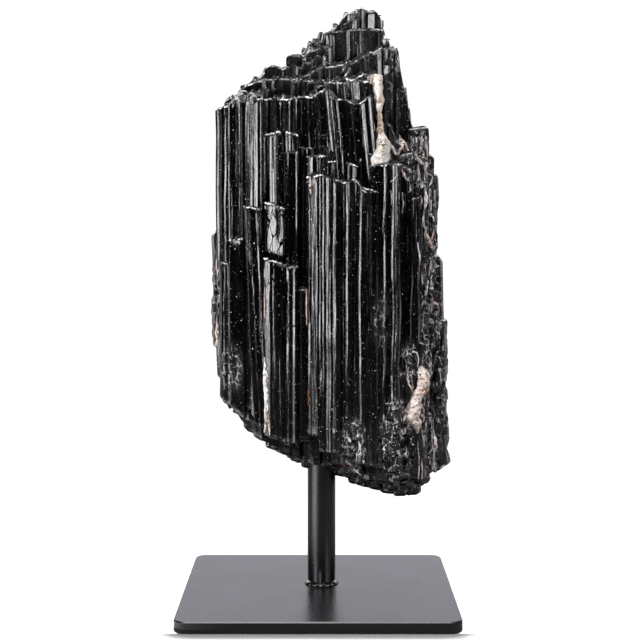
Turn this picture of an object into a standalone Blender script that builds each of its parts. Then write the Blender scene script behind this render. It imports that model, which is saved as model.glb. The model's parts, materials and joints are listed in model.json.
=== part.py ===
"""Black tourmaline specimen on a welded steel stand.

A bundle of upright, striated tourmaline crystals grown together, with two
masses of white feldspar in its right side. It is glued on a round steel
post, which is welded to a square steel plate. +Z is up and +X runs to the
specimen's right. The origin is the centre of the plate's underside.

Every length below is in millimetres. MM turns it into Blender's metres.
"""

import math
import random

import bmesh
import bpy
import numpy as np
from mathutils import Vector

MM = 0.001

# Steel stand
PLATE_SIDE = 120.0
PLATE_THICKNESS = 5.2
PLATE_CORNER_RADIUS = 5.0
PLATE_CORNER_STEPS = 5
PLATE_EDGE_CHAMFER = 0.5
POST_X = 1.5
POST_Y = 4.5
POST_DIAMETER = 12.7
POST_SIDES = 28
POST_TOP = 94.7
POST_CHAMFER = 0.8
SHARP_ANGLE = 35.0
BEAD_WIDTH = 1.2
BEAD_HEIGHT = 1.4
BEAD_PROFILE = ((1.0, 0.0), (1.0, 0.3), (0.45, 0.75))
BEAD_RIPPLES = ((9, 0.22, 0.0), (2, 0.18, 1.0))
SEAT_GAP = 0.3
POCKET_GAP = 0.45

# Specimen: plan of the bundle, as its front and back edge at points along X
FRONT_EDGE = ((-43.5, -12), (-39, -20), (-29, -25), (-15, -28), (0, -31), (15, -33),
              (24, -30), (34, -24), (44, -15), (52, -5))
BACK_EDGE = ((-43.5, 8), (-39, 18), (-25, 29), (0, 36), (20, 37), (40, 29), (52, 15))

# The broken top climbs in terraces from the front left to a peak at the back
# right. Each terrace is a row of crystals: its Y, the pitch between its
# crystals, then its height along X.
TERRACES = (
    (-19, 9.5, ((-41, 218), (-29, 219), (-6, 221), (4, 223), (20, 224), (24, 198), (39, 193),
                (46, 182))),
    (-11, 6.2, ((-42, 218), (-36, 222), (-30, 228), (-25, 231), (-8, 231), (0, 235.5), (10, 239),
                (21, 242), (28, 244), (32, 235), (36, 217), (41, 207), (45, 197), (49, 176))),
    (-3, 6.2, ((-42, 218), (-36, 226), (-32, 229), (-25, 232), (-21, 235), (-14, 240), (-9, 244),
               (-4, 246), (6, 250), (19, 254), (27, 254), (30, 245), (34, 229), (38, 213),
               (42, 207), (46, 197), (49, 180))),
    (5, 6.5, ((-41, 216), (-35, 223), (-27, 228), (-18, 236), (-10, 243), (-4, 248), (2, 253),
              (9, 256), (13, 260), (21, 262), (26, 260), (29, 249), (32, 242), (35, 228), (38, 214),
              (42, 206), (46, 194), (49, 180))),
    (13, 6.0, ((-41, 211), (-29, 221), (-18, 231), (-6, 242), (4, 250), (10, 259), (15, 264.5),
               (20, 267), (24, 265), (28, 253), (33, 234), (38, 214), (44, 192), (50, 160))),
    (21, 10.5, ((-36, 204), (-24, 214), (-10, 228), (4, 240), (14, 252), (23, 254), (30, 240),
               (37, 217), (46, 188))),
    (29, 11.0, ((-25, 198), (-12, 211), (4, 226), (15, 237), (25, 235), (37, 211))),
    (36, 11.0, ((-8, 194), (6, 208), (17, 213), (25, 208))),
)
TERRACE_WIDTH_TO_PITCH = 1.36
TERRACE_HALF_DEPTH = 5.8
TERRACE_SIDES = 6
TERRACE_SEED = 41

# The oblique underside: its lowest line along X, at KEEL_Y, and how far it
# rises for each millimetre in front of or behind that line
KEEL = ((-46, 106), (-44, 101), (-40, 92), (-37, 87), (-33, 77), (-25, 68.5), (-12, 61),
        (4, 55.5), (14, 52), (25, 47.5), (32, 45.5), (43, 46), (49, 50), (56, 55), (59, 60))
KEEL_Y = 8.0
KEEL_RISE_FRONT = 0.33
KEEL_RISE_BACK = 0.25

# A crystal's cross-section: how square it is, and how unevenly its corners lie
SECTION_POWER = 2.6
CORNER_SHIFT = 0.22
CORNER_REACH = (0.93, 1.04)

# A crystal's ends: how far their middles stand out, how uneven their rims are,
# how they slope along X and Y, and how far in a chipped rim is drawn
END_DOME = 1.4
END_RAGGED = 0.35
END_SLOPE_X = (-0.16, 0.16)
END_SLOPE_Y = (-0.05, 0.22)
CHIPPED_RIM = 0.76
CHIPPED_DOME = 0.2

# The crystals that stand out on the front: X, Y, half width, half depth, foot, top
FRONT_CRYSTALS = (
    (-41.0, -12, 3.3, 6.0, 101, 219.5),
    (-36.5, -17, 3.6, 6.5, 94, 221),
    (-30.9, -21.5, 3.9, 6.5, 90, 222.5),
    (-26.0, -24, 3.4, 6.0, 84, 221.5),
    (-27.4, -27.5, 4.0, 5.5, 81, 175.5),
    (-34.7, -23, 3.9, 5.5, 86, 162),
    (-20.8, -20.5, 3.4, 6.0, 78, 207),
    (-20.1, -17, 4.3, 6.0, 90, 222),
    (-14.9, -15.5, 3.5, 6.0, 77, 222.5),
    (-10.5, -20.5, 3.7, 6.0, 75, 207),
    (-8.0, -15, 4.6, 6.0, 74, 223.5),
    (-4.8, -18, 2.8, 6.0, 73, 200),
    (-18.2, -27, 4.2, 6.0, 154.5, 176.5),
    (-18.9, -28, 4.3, 6.0, 76.5, 153),
    (-12.4, -27.5, 4.0, 6.0, 73.5, 150.5),
    (-7.2, -23.5, 3.8, 6.0, 75.5, 140.5),
    (-0.7, -22.5, 4.6, 6.0, 110, 197.5),
    (14.5, -22, 3.0, 6.0, 110, 194),
    (-1.1, -30.5, 3.7, 6.5, 77.5, 188.5),
    (4.8, -31, 4.4, 7.0, 70.5, 189),
    (10.1, -29.5, 3.3, 6.5, 68.5, 186.5),
    (14.7, -28.5, 3.9, 6.5, 65.5, 188.5),
    (20.9, -26.5, 4.2, 6.5, 63.5, 183),
    (26.3, -24.5, 4.0, 6.5, 62.5, 192),
    (31.1, -22.5, 3.7, 6.5, 60.5, 191.5),
    (37.3, -15, 3.9, 6.0, 60, 199),
    (39.0, -17.5, 3.6, 6.0, 58, 183),
    (43.8, -7, 4.5, 6.0, 60, 210.5),
    (46.8, -5.5, 3.6, 5.5, 57, 200),
    (36.6, -20.5, 4.5, 6.5, 56.5, 96),
    (43.1, -14.5, 4.5, 6.5, 56, 118),
)
FRONT_SIDES = 7

# The upper front panel, whose crystals lean to the left as they rise
PANEL_CRYSTALS = (
    (0.9, -15, 6.0, 6.0, 174, 226.5),
    (9.4, -19, 4.8, 6.5, 169, 221),
    (8.1, -14, 4.4, 6.0, 174, 230),
    (17.6, -19, 5.8, 6.5, 167, 220.5),
    (17.4, -14, 6.7, 6.0, 174, 233),
)
PANEL_LEAN = -0.09

# Short crystals at the peak, and down both edges, each lower one set further out
EDGE_CRYSTALS = (
    (19.9, 12, 2.8, 4.0, 235, 266),
    (13.6, 12, 3.4, 4.5, 235, 263.5),
    (26.0, 11, 3.0, 4.5, 230, 262.5),
    (-44.5, -6, 2.8, 5.0, 116, 165),
    (-44.8, -1, 2.6, 4.5, 112, 147.5),
    (49.5, -2, 3.5, 5.5, 58, 190.5),
    (52.5, -3, 3.4, 5.0, 58, 155),
    (51.6, 6, 3.5, 5.5, 56, 157),
    (54.2, -4, 3.3, 4.5, 60, 126.5),
    (54.4, 3, 3.4, 5.0, 58, 127),
    (56.3, -3, 3.3, 4.5, 60, 99),
    (55.6, 5, 3.5, 5.0, 60, 108),
    (53.4, 12, 3.7, 5.0, 62, 119.5),
)
EDGE_SIDES = 7

# Shorter crystals standing out from the back
BACK_CRYSTALS = (
    (-33.5, 22, 4.4, 5.0, 84, 158),
    (-24.0, 28, 4.6, 5.0, 82, 181),
    (-13.0, 32.5, 4.4, 4.8, 76, 146),
    (-3.5, 35.5, 4.8, 4.6, 72, 171),
    (11.5, 37.5, 4.6, 4.4, 66, 132),
    (28.5, 34.5, 4.8, 4.8, 62, 178),
    (37.0, 29, 4.4, 4.8, 62, 141),
    (46.0, 21, 4.4, 5.0, 63, 166),
)

# Solid heart of the bundle, which fills it up to just inside the visible crystals
CORE_INSET = 6.5
CORE_BELOW_TOP = 4.0
CORE_ABOVE_FOOT = 8.0
CORE_X_RANGE = (-38.0, 47.0)
CORE_SLICES = 13
CORE_SLICE_STEPS = 7

# Feldspar masses: height, left, right, front and back of each level, then the
# seeds of their lumps
FELDSPAR_UPPER = (
    (193, 21.9, 31.3, -29.5, -12),
    (196, 21.7, 31.5, -29, -11),
    (201, 23.5, 30.9, -28, -11),
    (206, 24.6, 28.9, -27, -11),
    (210.5, 25.0, 27.7, -26.5, -11),
    (217.5, 24.0, 27.9, -26, -10),
    (225, 23.2, 27.9, -25, -10),
    (232, 23.2, 27.5, -23, -11),
)
FELDSPAR_LOWER = (
    (77, 42.4, 44.7, -21.5, -13),
    (81, 39.2, 46.1, -24, -12),
    (86, 36.8, 45.9, -25.5, -11),
    (91, 37.9, 46.0, -25, -11),
    (97, 40.5, 47.8, -23, -10),
    (104, 41.8, 48.1, -22, -10),
    (108, 43.0, 47.3, -20.5, -11),
)
UPPER_SEED = 5
LOWER_SEED = 8
LUMP_SIDES = 8
LUMP_REACH = (1.01, 1.17)
LUMP_RAGGED = 0.5


def clear_scene():
    for item in list(bpy.data.objects):
        bpy.data.objects.remove(item, do_unlink=True)


def make_material(name, colour, roughness, metallic=0.0):
    material = bpy.data.materials.new(name)
    material.use_nodes = True
    shader = material.node_tree.nodes["Principled BSDF"]
    shader.inputs["Base Color"].default_value = (*colour, 1.0)
    shader.inputs["Roughness"].default_value = roughness
    shader.inputs["Metallic"].default_value = metallic
    return material


def make_object(name, shell, material):
    """Turn a bmesh in millimetres into an object in metres."""
    bmesh.ops.scale(shell, vec=(MM, MM, MM), verts=shell.verts)
    bmesh.ops.recalc_face_normals(shell, faces=shell.faces)
    mesh = bpy.data.meshes.new(name)
    shell.to_mesh(mesh)
    shell.free()
    item = bpy.data.objects.new(name, mesh)
    bpy.context.collection.objects.link(item)
    if material is not None:
        mesh.materials.append(material)
    return item


def along(points, x):
    """Height or depth at x, straight between the listed points."""
    return float(np.interp(x, [p[0] for p in points], [p[1] for p in points]))


def skin_rings(shell, rings, dome=0.0):
    """Join rings of equal length, listed from one end to the other, and close both ends.

    Each end closes on one point at its middle, pushed outwards by dome.
    """
    loops = [[shell.verts.new(point) for point in ring] for ring in rings]
    count = len(loops[0])
    for lower, upper in zip(loops, loops[1:]):
        for i in range(count):
            j = (i + 1) % count
            shell.faces.new((lower[i], lower[j], upper[j], upper[i]))
    for loop, way in ((loops[0], -1), (loops[-1], 1)):
        middle = sum((vert.co for vert in loop), Vector()) / count
        centre = shell.verts.new(middle + Vector((0, 0, dome * way)))
        for i in range(count):
            pair = (loop[i], loop[(i + 1) % count])
            shell.faces.new((*pair[::way], centre))


def fluted_section(draw, half_width, half_depth, sides):
    """Corners of a rounded, uneven box, which is how a tourmaline prism looks end on."""
    corners = []
    turn = draw.uniform(0, math.tau)
    for i in range(sides):
        angle = turn + math.tau * (i + draw.uniform(-CORNER_SHIFT, CORNER_SHIFT)) / sides
        cos, sin = math.cos(angle), math.sin(angle)
        square = (abs(cos) ** SECTION_POWER + abs(sin) ** SECTION_POWER) ** (-1 / SECTION_POWER)
        reach = square * draw.uniform(*CORNER_REACH)
        corners.append((half_width * reach * cos, half_depth * reach * sin))
    return corners


def add_crystal(shell, draw, crystal, sides, lean=0.0, chipped=True):
    """One prism with straight flanks, a low point at its foot and a worn end on top.

    A chipped one has a bevel around its top. The others end in a low dome.
    """
    x, y, half_width, half_depth, foot, top = crystal
    section = fluted_section(draw, half_width, half_depth, sides)
    slope_x, slope_y = draw.uniform(*END_SLOPE_X), draw.uniform(*END_SLOPE_Y)

    def ring(height, scale):
        points = []
        for dx, dy in section:
            z = height + slope_x * dx + slope_y * dy + draw.uniform(-END_RAGGED, END_RAGGED)
            points.append((x + dx * scale + lean * (z - top), y + dy * scale, z))
        return points

    rings = [ring(foot + END_DOME, 1.0), ring(top - END_DOME, 1.0)]
    if chipped:
        rings.append(ring(top, CHIPPED_RIM))
    skin_rings(shell, rings, dome=CHIPPED_DOME if chipped else END_DOME)


def underside(x, y):
    """Height of the oblique underside."""
    slope = KEEL_RISE_FRONT if y < KEEL_Y else KEEL_RISE_BACK
    return along(KEEL, x) + slope * abs(y - KEEL_Y)


def edge_x(y, side):
    """Where the plan's left (-1) or right (1) edge lies at a given Y."""
    spots = np.linspace(FRONT_EDGE[0][0], FRONT_EDGE[-1][0], 192)
    inside = [s for s in spots if along(FRONT_EDGE, s) <= y + 1 and along(BACK_EDGE, s) >= y - 1]
    return float(inside[0] if side < 0 else inside[-1])


def add_terraces(shell, draw):
    """Rows of crystals from the front to the back, each with its own top line."""
    for row_y, pitch, top_line in TERRACES:
        usual_half_width = pitch * TERRACE_WIDTH_TO_PITCH / 2
        left = edge_x(row_y, -1) + usual_half_width
        right = edge_x(row_y, 1) - usual_half_width
        count = round((right - left) / pitch) + 1
        for place, x in enumerate(np.linspace(left, right, count)):
            inner = 0 < place < count - 1
            x += draw.uniform(-0.15, 0.15) * pitch if inner else 0
            y = row_y + draw.uniform(-1.2, 1.2)
            half_width = usual_half_width * (draw.uniform(0.9, 1.15) if inner else 1)
            half_depth = TERRACE_HALF_DEPTH * draw.uniform(0.92, 1.12)
            top = along(top_line, x) + draw.uniform(-1.1, 0.9)
            foot = underside(x, y) + draw.uniform(-1.5, 1.5)
            crystal = (x, y, half_width, half_depth, foot, top)
            add_crystal(shell, draw, crystal, TERRACE_SIDES, chipped=False)


def crystal_shells():
    """All the prisms in one mesh, still overlapping each other."""
    shell = bmesh.new()
    draw = random.Random(TERRACE_SEED)
    add_terraces(shell, draw)
    for crystal in FRONT_CRYSTALS:
        add_crystal(shell, draw, crystal, FRONT_SIDES)
    for crystal in PANEL_CRYSTALS:
        add_crystal(shell, draw, crystal, FRONT_SIDES, PANEL_LEAN)
    for crystal in EDGE_CRYSTALS + BACK_CRYSTALS:
        add_crystal(shell, draw, crystal, EDGE_SIDES)
    return shell


def lowest_top(x, y):
    """Height of the lower of the two terraces either side of y, near x."""
    nearest = sorted(TERRACES, key=lambda terrace: abs(terrace[0] - y))[:2]
    return min(along(top_line, x + shift) for _, _, top_line in nearest for shift in (-4, 0, 4))


def core_shell():
    """Slices across the bundle at steps along X, each drawn in from the crystals around it."""
    slices = []
    for x in np.linspace(*CORE_X_RANGE, CORE_SLICES):
        front = along(FRONT_EDGE, x) + CORE_INSET
        back = along(BACK_EDGE, x) - CORE_INSET
        depths = np.linspace(front, back, CORE_SLICE_STEPS)
        upper = [(x, y, lowest_top(x, y) - CORE_BELOW_TOP) for y in depths]
        lower = [(x, y, underside(x, y) + CORE_ABOVE_FOOT) for y in depths[::-1]]
        slices.append(upper + lower)
    shell = bmesh.new()
    skin_rings(shell, slices)
    bmesh.ops.triangulate(shell, faces=shell.faces)
    return shell


def feldspar_shell(levels, grow, seed):
    """A lumpy mass lofted through its levels. A pocket for it grows by its gap."""
    draw = random.Random(seed)
    rings = []
    last = len(levels) - 1
    for index, (z, left, right, front, back) in enumerate(levels):
        middle = ((left + right) / 2, (front + back) / 2)
        z += grow * (-1 if index == 0 else 1 if index == last else 0)
        ring = []
        for i in range(LUMP_SIDES):
            angle = math.tau * (i + 0.5) / LUMP_SIDES
            reach = draw.uniform(*LUMP_REACH)
            half_x = (right - left) / 2 * reach + grow
            half_y = (back - front) / 2 * reach + grow
            ring.append((middle[0] + half_x * math.cos(angle), middle[1] + half_y * math.sin(angle),
                         z + draw.uniform(-LUMP_RAGGED, LUMP_RAGGED)))
        rings.append(ring)
    shell = bmesh.new()
    skin_rings(shell, rings)
    bmesh.ops.triangulate(shell, faces=shell.faces, quad_method="FIXED")
    return shell


def make_cutter(name, shell):
    cutter = make_object(name, shell, None)
    cutter.hide_render = True
    cutter.display_type = "WIRE"
    return cutter


def add_boolean(item, operation, other):
    modifier = item.modifiers.new(f"{operation.lower()} {other.name}", "BOOLEAN")
    modifier.operation = operation
    modifier.solver = "EXACT"
    modifier.object = other
    return modifier


def make_tourmaline(material):
    """The whole bundle as one solid, drilled for the post and pocketed for the feldspar."""
    bundle = make_object("tourmaline_crystal", crystal_shells(), material)
    join = add_boolean(bundle, "UNION", make_cutter("core", core_shell()))
    join.use_self = True

    drill = bmesh.new()
    hole_top = POST_TOP + SEAT_GAP
    bmesh.ops.create_cone(drill, cap_ends=True, segments=POST_SIDES, depth=hole_top,
                          radius1=POST_DIAMETER / 2 + SEAT_GAP, radius2=POST_DIAMETER / 2 + SEAT_GAP)
    bmesh.ops.translate(drill, vec=(POST_X, POST_Y, hole_top / 2), verts=drill.verts)
    add_boolean(bundle, "DIFFERENCE", make_cutter("post_hole", drill))

    upper_pocket = feldspar_shell(FELDSPAR_UPPER, POCKET_GAP, UPPER_SEED)
    lower_pocket = feldspar_shell(FELDSPAR_LOWER, POCKET_GAP, LOWER_SEED)
    add_boolean(bundle, "DIFFERENCE", make_cutter("upper_pocket", upper_pocket))
    add_boolean(bundle, "DIFFERENCE", make_cutter("lower_pocket", lower_pocket))
    return bundle


def make_feldspar(name, levels, seed, material):
    return make_object(name, feldspar_shell(levels, 0.0, seed), material)


def make_plate(material):
    """Square plate with round corners and a fine chamfer on its edges."""
    half = PLATE_SIDE / 2
    inner = half - PLATE_CORNER_RADIUS

    def outline(inset, z):
        points = []
        for quarter in range(4):
            turn = math.pi / 2 * quarter
            corner = Vector((inner, inner, 0))
            for step in range(PLATE_CORNER_STEPS + 1):
                angle = math.pi / 2 * step / PLATE_CORNER_STEPS
                reach = PLATE_CORNER_RADIUS - inset
                x = corner.x + reach * math.cos(angle)
                y = corner.y + reach * math.sin(angle)
                points.append((x * math.cos(turn) - y * math.sin(turn),
                               x * math.sin(turn) + y * math.cos(turn), z))
        return points

    shell = bmesh.new()
    skin_rings(shell, (
        outline(PLATE_EDGE_CHAMFER, 0),
        outline(0, PLATE_EDGE_CHAMFER),
        outline(0, PLATE_THICKNESS - PLATE_EDGE_CHAMFER),
        outline(PLATE_EDGE_CHAMFER, PLATE_THICKNESS),
    ))
    return make_object("base_plate", shell, material)


def bead_ripple(angle):
    """How far the hand-laid weld swells around the post: waves of (count, size, turn)."""
    return sum(size * math.sin(count * angle + turn) for count, size, turn in BEAD_RIPPLES)


def make_post(material):
    """Round bar with its weld bead around the foot, turned as one profile."""
    radius = POST_DIAMETER / 2
    foot = PLATE_THICKNESS + SEAT_GAP
    profile = [(BEAD_WIDTH * share, foot + BEAD_HEIGHT * rise, share) for share, rise in BEAD_PROFILE]
    profile += [
        (0, foot + BEAD_HEIGHT, 0),
        (0, POST_TOP - POST_CHAMFER, 0),
        (-POST_CHAMFER, POST_TOP, 0),
    ]
    rings = []
    for out, z, swell in profile:
        ring = []
        for i in range(POST_SIDES):
            angle = math.tau * i / POST_SIDES
            reach = radius + out + swell * bead_ripple(angle)
            ring.append((POST_X + reach * math.cos(angle), POST_Y + reach * math.sin(angle), z))
        rings.append(ring)
    shell = bmesh.new()
    skin_rings(shell, rings)
    post = make_object("post", shell, material)
    post.data.shade_smooth()
    post.data.set_sharp_from_angle(angle=math.radians(SHARP_ANGLE))
    return post


def build():
    clear_scene()
    powder_coat = make_material("Black powder coat", (0.012, 0.012, 0.013), 0.48)
    schorl = make_material("Black tourmaline", (0.008, 0.008, 0.009), 0.22)
    feldspar = make_material("White feldspar", (0.62, 0.54, 0.44), 0.7)
    make_plate(powder_coat)
    make_post(powder_coat)
    make_tourmaline(schorl)
    make_feldspar("feldspar_upper", FELDSPAR_UPPER, UPPER_SEED, feldspar)
    make_feldspar("feldspar_lower", FELDSPAR_LOWER, LOWER_SEED, feldspar)


build()
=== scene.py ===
import json
import math

import bpy
import numpy as np
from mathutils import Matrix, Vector
from mathutils.bvhtree import BVHTree

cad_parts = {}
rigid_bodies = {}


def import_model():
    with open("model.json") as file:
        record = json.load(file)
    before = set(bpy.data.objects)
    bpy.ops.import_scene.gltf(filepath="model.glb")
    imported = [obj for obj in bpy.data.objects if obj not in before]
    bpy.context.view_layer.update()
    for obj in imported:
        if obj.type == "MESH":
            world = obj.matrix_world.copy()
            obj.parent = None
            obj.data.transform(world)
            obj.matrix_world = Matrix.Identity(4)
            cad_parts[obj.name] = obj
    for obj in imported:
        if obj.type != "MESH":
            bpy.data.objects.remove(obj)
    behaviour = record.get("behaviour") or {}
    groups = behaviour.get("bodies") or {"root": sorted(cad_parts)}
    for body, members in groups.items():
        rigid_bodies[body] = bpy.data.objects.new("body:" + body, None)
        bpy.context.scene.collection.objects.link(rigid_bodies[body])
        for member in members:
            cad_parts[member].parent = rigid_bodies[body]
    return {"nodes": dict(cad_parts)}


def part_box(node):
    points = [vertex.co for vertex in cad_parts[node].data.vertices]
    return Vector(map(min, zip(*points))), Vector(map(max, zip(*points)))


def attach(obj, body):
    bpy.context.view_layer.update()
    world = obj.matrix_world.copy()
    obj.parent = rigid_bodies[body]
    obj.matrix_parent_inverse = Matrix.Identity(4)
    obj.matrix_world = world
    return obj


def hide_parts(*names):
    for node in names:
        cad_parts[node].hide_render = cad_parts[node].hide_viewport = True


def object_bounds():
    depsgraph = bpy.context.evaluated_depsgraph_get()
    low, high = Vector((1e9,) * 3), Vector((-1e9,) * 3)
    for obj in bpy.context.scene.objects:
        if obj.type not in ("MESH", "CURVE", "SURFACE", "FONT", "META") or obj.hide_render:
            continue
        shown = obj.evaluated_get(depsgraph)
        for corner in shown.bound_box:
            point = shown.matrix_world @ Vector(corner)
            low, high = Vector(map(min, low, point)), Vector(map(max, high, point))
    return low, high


# Black tourmaline on its steel stand: a bundle of striated crystals with feldspar in its
# right side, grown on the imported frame. Lengths here are in millimetres, and mm turns them
# into Blender's metres. X is to the right, -Y is the front and Z is up.

mm = 0.001

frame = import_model()
cadLow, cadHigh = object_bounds()
scene = bpy.context.scene
print("frame loaded")


def linear(hexColour):
    # One sRGB hex colour as the linear values that shaders take
    values = np.array([int(hexColour[i:i + 2], 16) for i in (1, 3, 5)]) / 255
    values = np.where(values <= 0.04045, values / 12.92, ((values + 0.055) / 1.055) ** 2.4)
    return (*values, 1.0)


def addNode(tree, kind, settings=None, links=None):
    # Lower-case settings are the node's own, the others are values of its sockets
    item = tree.nodes.new(kind)
    for name, value in (settings or {}).items():
        if isinstance(name, str) and name[0].islower():
            setattr(item, name, value)
        else:
            item.inputs[name].default_value = value
    for name, source in (links or {}).items():
        tree.links.new(source, item.inputs[name])
    return item


def newMaterial(name):
    material = bpy.data.materials.new(name)
    material.use_nodes = True
    return material, material.node_tree, material.node_tree.nodes["Principled BSDF"]


def meshFrom(name, points, faces, values=None):
    # A mesh in metres from points in millimetres, with a number per point for each name in values
    mesh = bpy.data.meshes.new(name)
    mesh.from_pydata((points * mm).tolist(), [], faces)
    for label, numbers in (values or {}).items():
        layer = mesh.attributes.new(label, "FLOAT", "POINT")
        layer.data.foreach_set("value", np.ascontiguousarray(numbers, dtype=np.float32))
    return mesh


def addSurface(group, name, points, faces, values=None):
    item = bpy.data.objects.new(name, meshFrom(name, points, faces, values))
    group.objects.link(item)
    return item


def closedGrid(rings, start, end):
    # Faces of a tube: each ring joined to the next, and each end closed on one middle point.
    # rings is levels by points by 3, and start and end are the middles of its two ends.
    levels, count = rings.shape[:2]
    points = np.vstack((rings.reshape(-1, 3), start, end))
    here = np.arange((levels - 1) * count).reshape(levels - 1, count)
    beside = np.roll(here, -1, axis=1)
    sides = np.stack((here, beside, beside + count, here + count), -1).reshape(-1, 4)
    first = np.arange(count)
    second = np.roll(first, -1)
    last = (levels - 1) * count
    low = np.stack((second, first, np.full(count, levels * count)), -1)
    high = np.stack((first + last, second + last, np.full(count, levels * count + 1)), -1)
    return points, sides.tolist() + low.tolist() + high.tolist()


def drift(draw, heights, count, reach, size):
    # Smooth noise: random values every reach up the height, straight between them, one run
    # for each of count points
    span = (heights - heights.min()) / reach
    knots = draw.normal(0, size, (int(span.max()) + 2, count))
    below = span.astype(int)
    share = (span - below)[:, None]
    return knots[below] * (1 - share) + knots[below + 1] * share


# Camera and lights

view = {
    "focalLength": 82.125,
    "sensor": 36.0,
    "place": (0.00081, -0.6506, 0.17215),   # metres
    "pitch": -4.093,
}


def makeCamera():
    data = bpy.data.cameras.new("camera")
    data.lens = view["focalLength"]
    data.sensor_width = view["sensor"]
    camera = bpy.data.objects.new("camera", data)
    camera.location = view["place"]
    camera.rotation_euler = (math.radians(90 + view["pitch"]), 0, 0)
    scene.collection.objects.link(camera)
    bpy.context.scene.camera = camera


# Each box: compass direction from the front (left is negative), height above the level, both in
# degrees, distance, width, height in metres, power in watts, and how much of it is evenly lit.
softBoxes = {
    "leftTall": (-50, 14, 1.1, 0.46, 1.2, 21, 0.5),
    "leftWide": (-42, 16, 1.3, 1.20, 1.3, 4, 0.0),
    "rightTall": (44, 18, 1.2, 0.45, 0.9, 13, 0.2),
    "rightWide": (62, 22, 1.4, 1.10, 1.2, 24, 0.0),
    "overhead": (-8, 68, 1.0, 0.9, 0.55, 17, 0.4),
    "backLeft": (-150, 30, 1.3, 0.6, 1.0, 10, 0.5),
    "backRight": (150, 30, 1.3, 0.6, 1.0, 10, 0.5),
}
boxTint = (0.975, 0.965, 1.0)    # a little cool
lightAim = (0.0, 0.0, 0.12)
# Strips that lie on the floor around the stand and draw the streaks down its post: compass
# direction, nearest and farthest reach, width, power and even share
floorStrips = (
    (-60, 0.06, 0.20, 0.10, 0.16, 0.2),
    (-60, 0.12, 0.48, 0.26, 1.45, 0.5),
    (-51, 0.42, 1.05, 0.13, 1.9, 0.2),
    (58, 0.35, 1.05, 0.45, 0.9, 0.0),
)
stripLift = 0.002    # metres above the floor


def softenBox(data, evenShare):
    # The box is bright in its middle and fades smoothly to its edges
    data.use_nodes = True
    tree = data.node_tree
    glow = tree.nodes["Emission"]
    spot = addNode(tree, "ShaderNodeNewGeometry").outputs["Parametric"]
    parts = addNode(tree, "ShaderNodeSeparateXYZ", links={0: spot})
    fades = []
    for axis in ("X", "Y"):
        off = addNode(tree, "ShaderNodeMath", {"operation": "SUBTRACT", 1: 0.5},
                      {0: parts.outputs[axis]})
        off = addNode(tree, "ShaderNodeMath", {"operation": "ABSOLUTE"}, {0: off.outputs[0]})
        fades.append(addNode(tree, "ShaderNodeMapRange", {
            "interpolation_type": "SMOOTHSTEP", 1: evenShare / 2, 2: 0.5, 3: 1.0, 4: 0.0},
            {0: off.outputs[0]}))
    both = addNode(tree, "ShaderNodeMath", {"operation": "MULTIPLY"},
                   {0: fades[0].outputs[0], 1: fades[1].outputs[0]})
    tree.links.new(both.outputs[0], glow.inputs["Strength"])


def addLight(name, width, height, power, evenShare, tint=(1.0, 1.0, 1.0)):
    data = bpy.data.lights.new(name, "AREA")
    data.shape = "RECTANGLE"
    data.size = width
    data.size_y = height
    data.energy = power
    data.color = tint
    softenBox(data, evenShare)
    box = bpy.data.objects.new(name, data)
    scene.collection.objects.link(box)
    return box


def makeLights():
    for name, (turn, rise, far, width, height, power, evenShare) in softBoxes.items():
        box = addLight(name, width, height, power, evenShare, boxTint)
        a, e = math.radians(turn), math.radians(rise)
        way = Vector((math.sin(a) * math.cos(e), -math.cos(a) * math.cos(e), math.sin(e)))
        box.location = Vector(lightAim) + way * far
        box.rotation_euler = way.to_track_quat("Z", "Y").to_euler()

    for turn, near, far, width, power, evenShare in floorStrips:
        box = addLight("floorStrip", width, far - near, power, evenShare)
        a = math.radians(turn)
        reach = (far + near) / 2
        box.location = (math.sin(a) * reach, -math.cos(a) * reach, stripLift)
        box.rotation_euler = (math.pi, 0, a)


studio = {
    "halfWidth": 3.0,               # of the floor, in metres
    "nearTone": "#8c8a8a",          # the floor as the steel mirrors it, near the stand and beyond
    "farTone": "#484848",
    "toneFade": (0.22, 0.45),       # metres from the stand
    "white": 1.05,                  # how bright the camera sees floor and backdrop
    # contact: a painted shadow under the plate's front edge
    "contact": 0.009,               # reach of the shadow under the plate's front edge
    "contactDepth": 16.0,
    "frontEdge": (-0.0585, -0.06),
    "backdrop": (0.014, 1.23),      # what the faces mirror: all around, and behind the object
    "backdropTint": "#f8f4ff",
}


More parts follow.
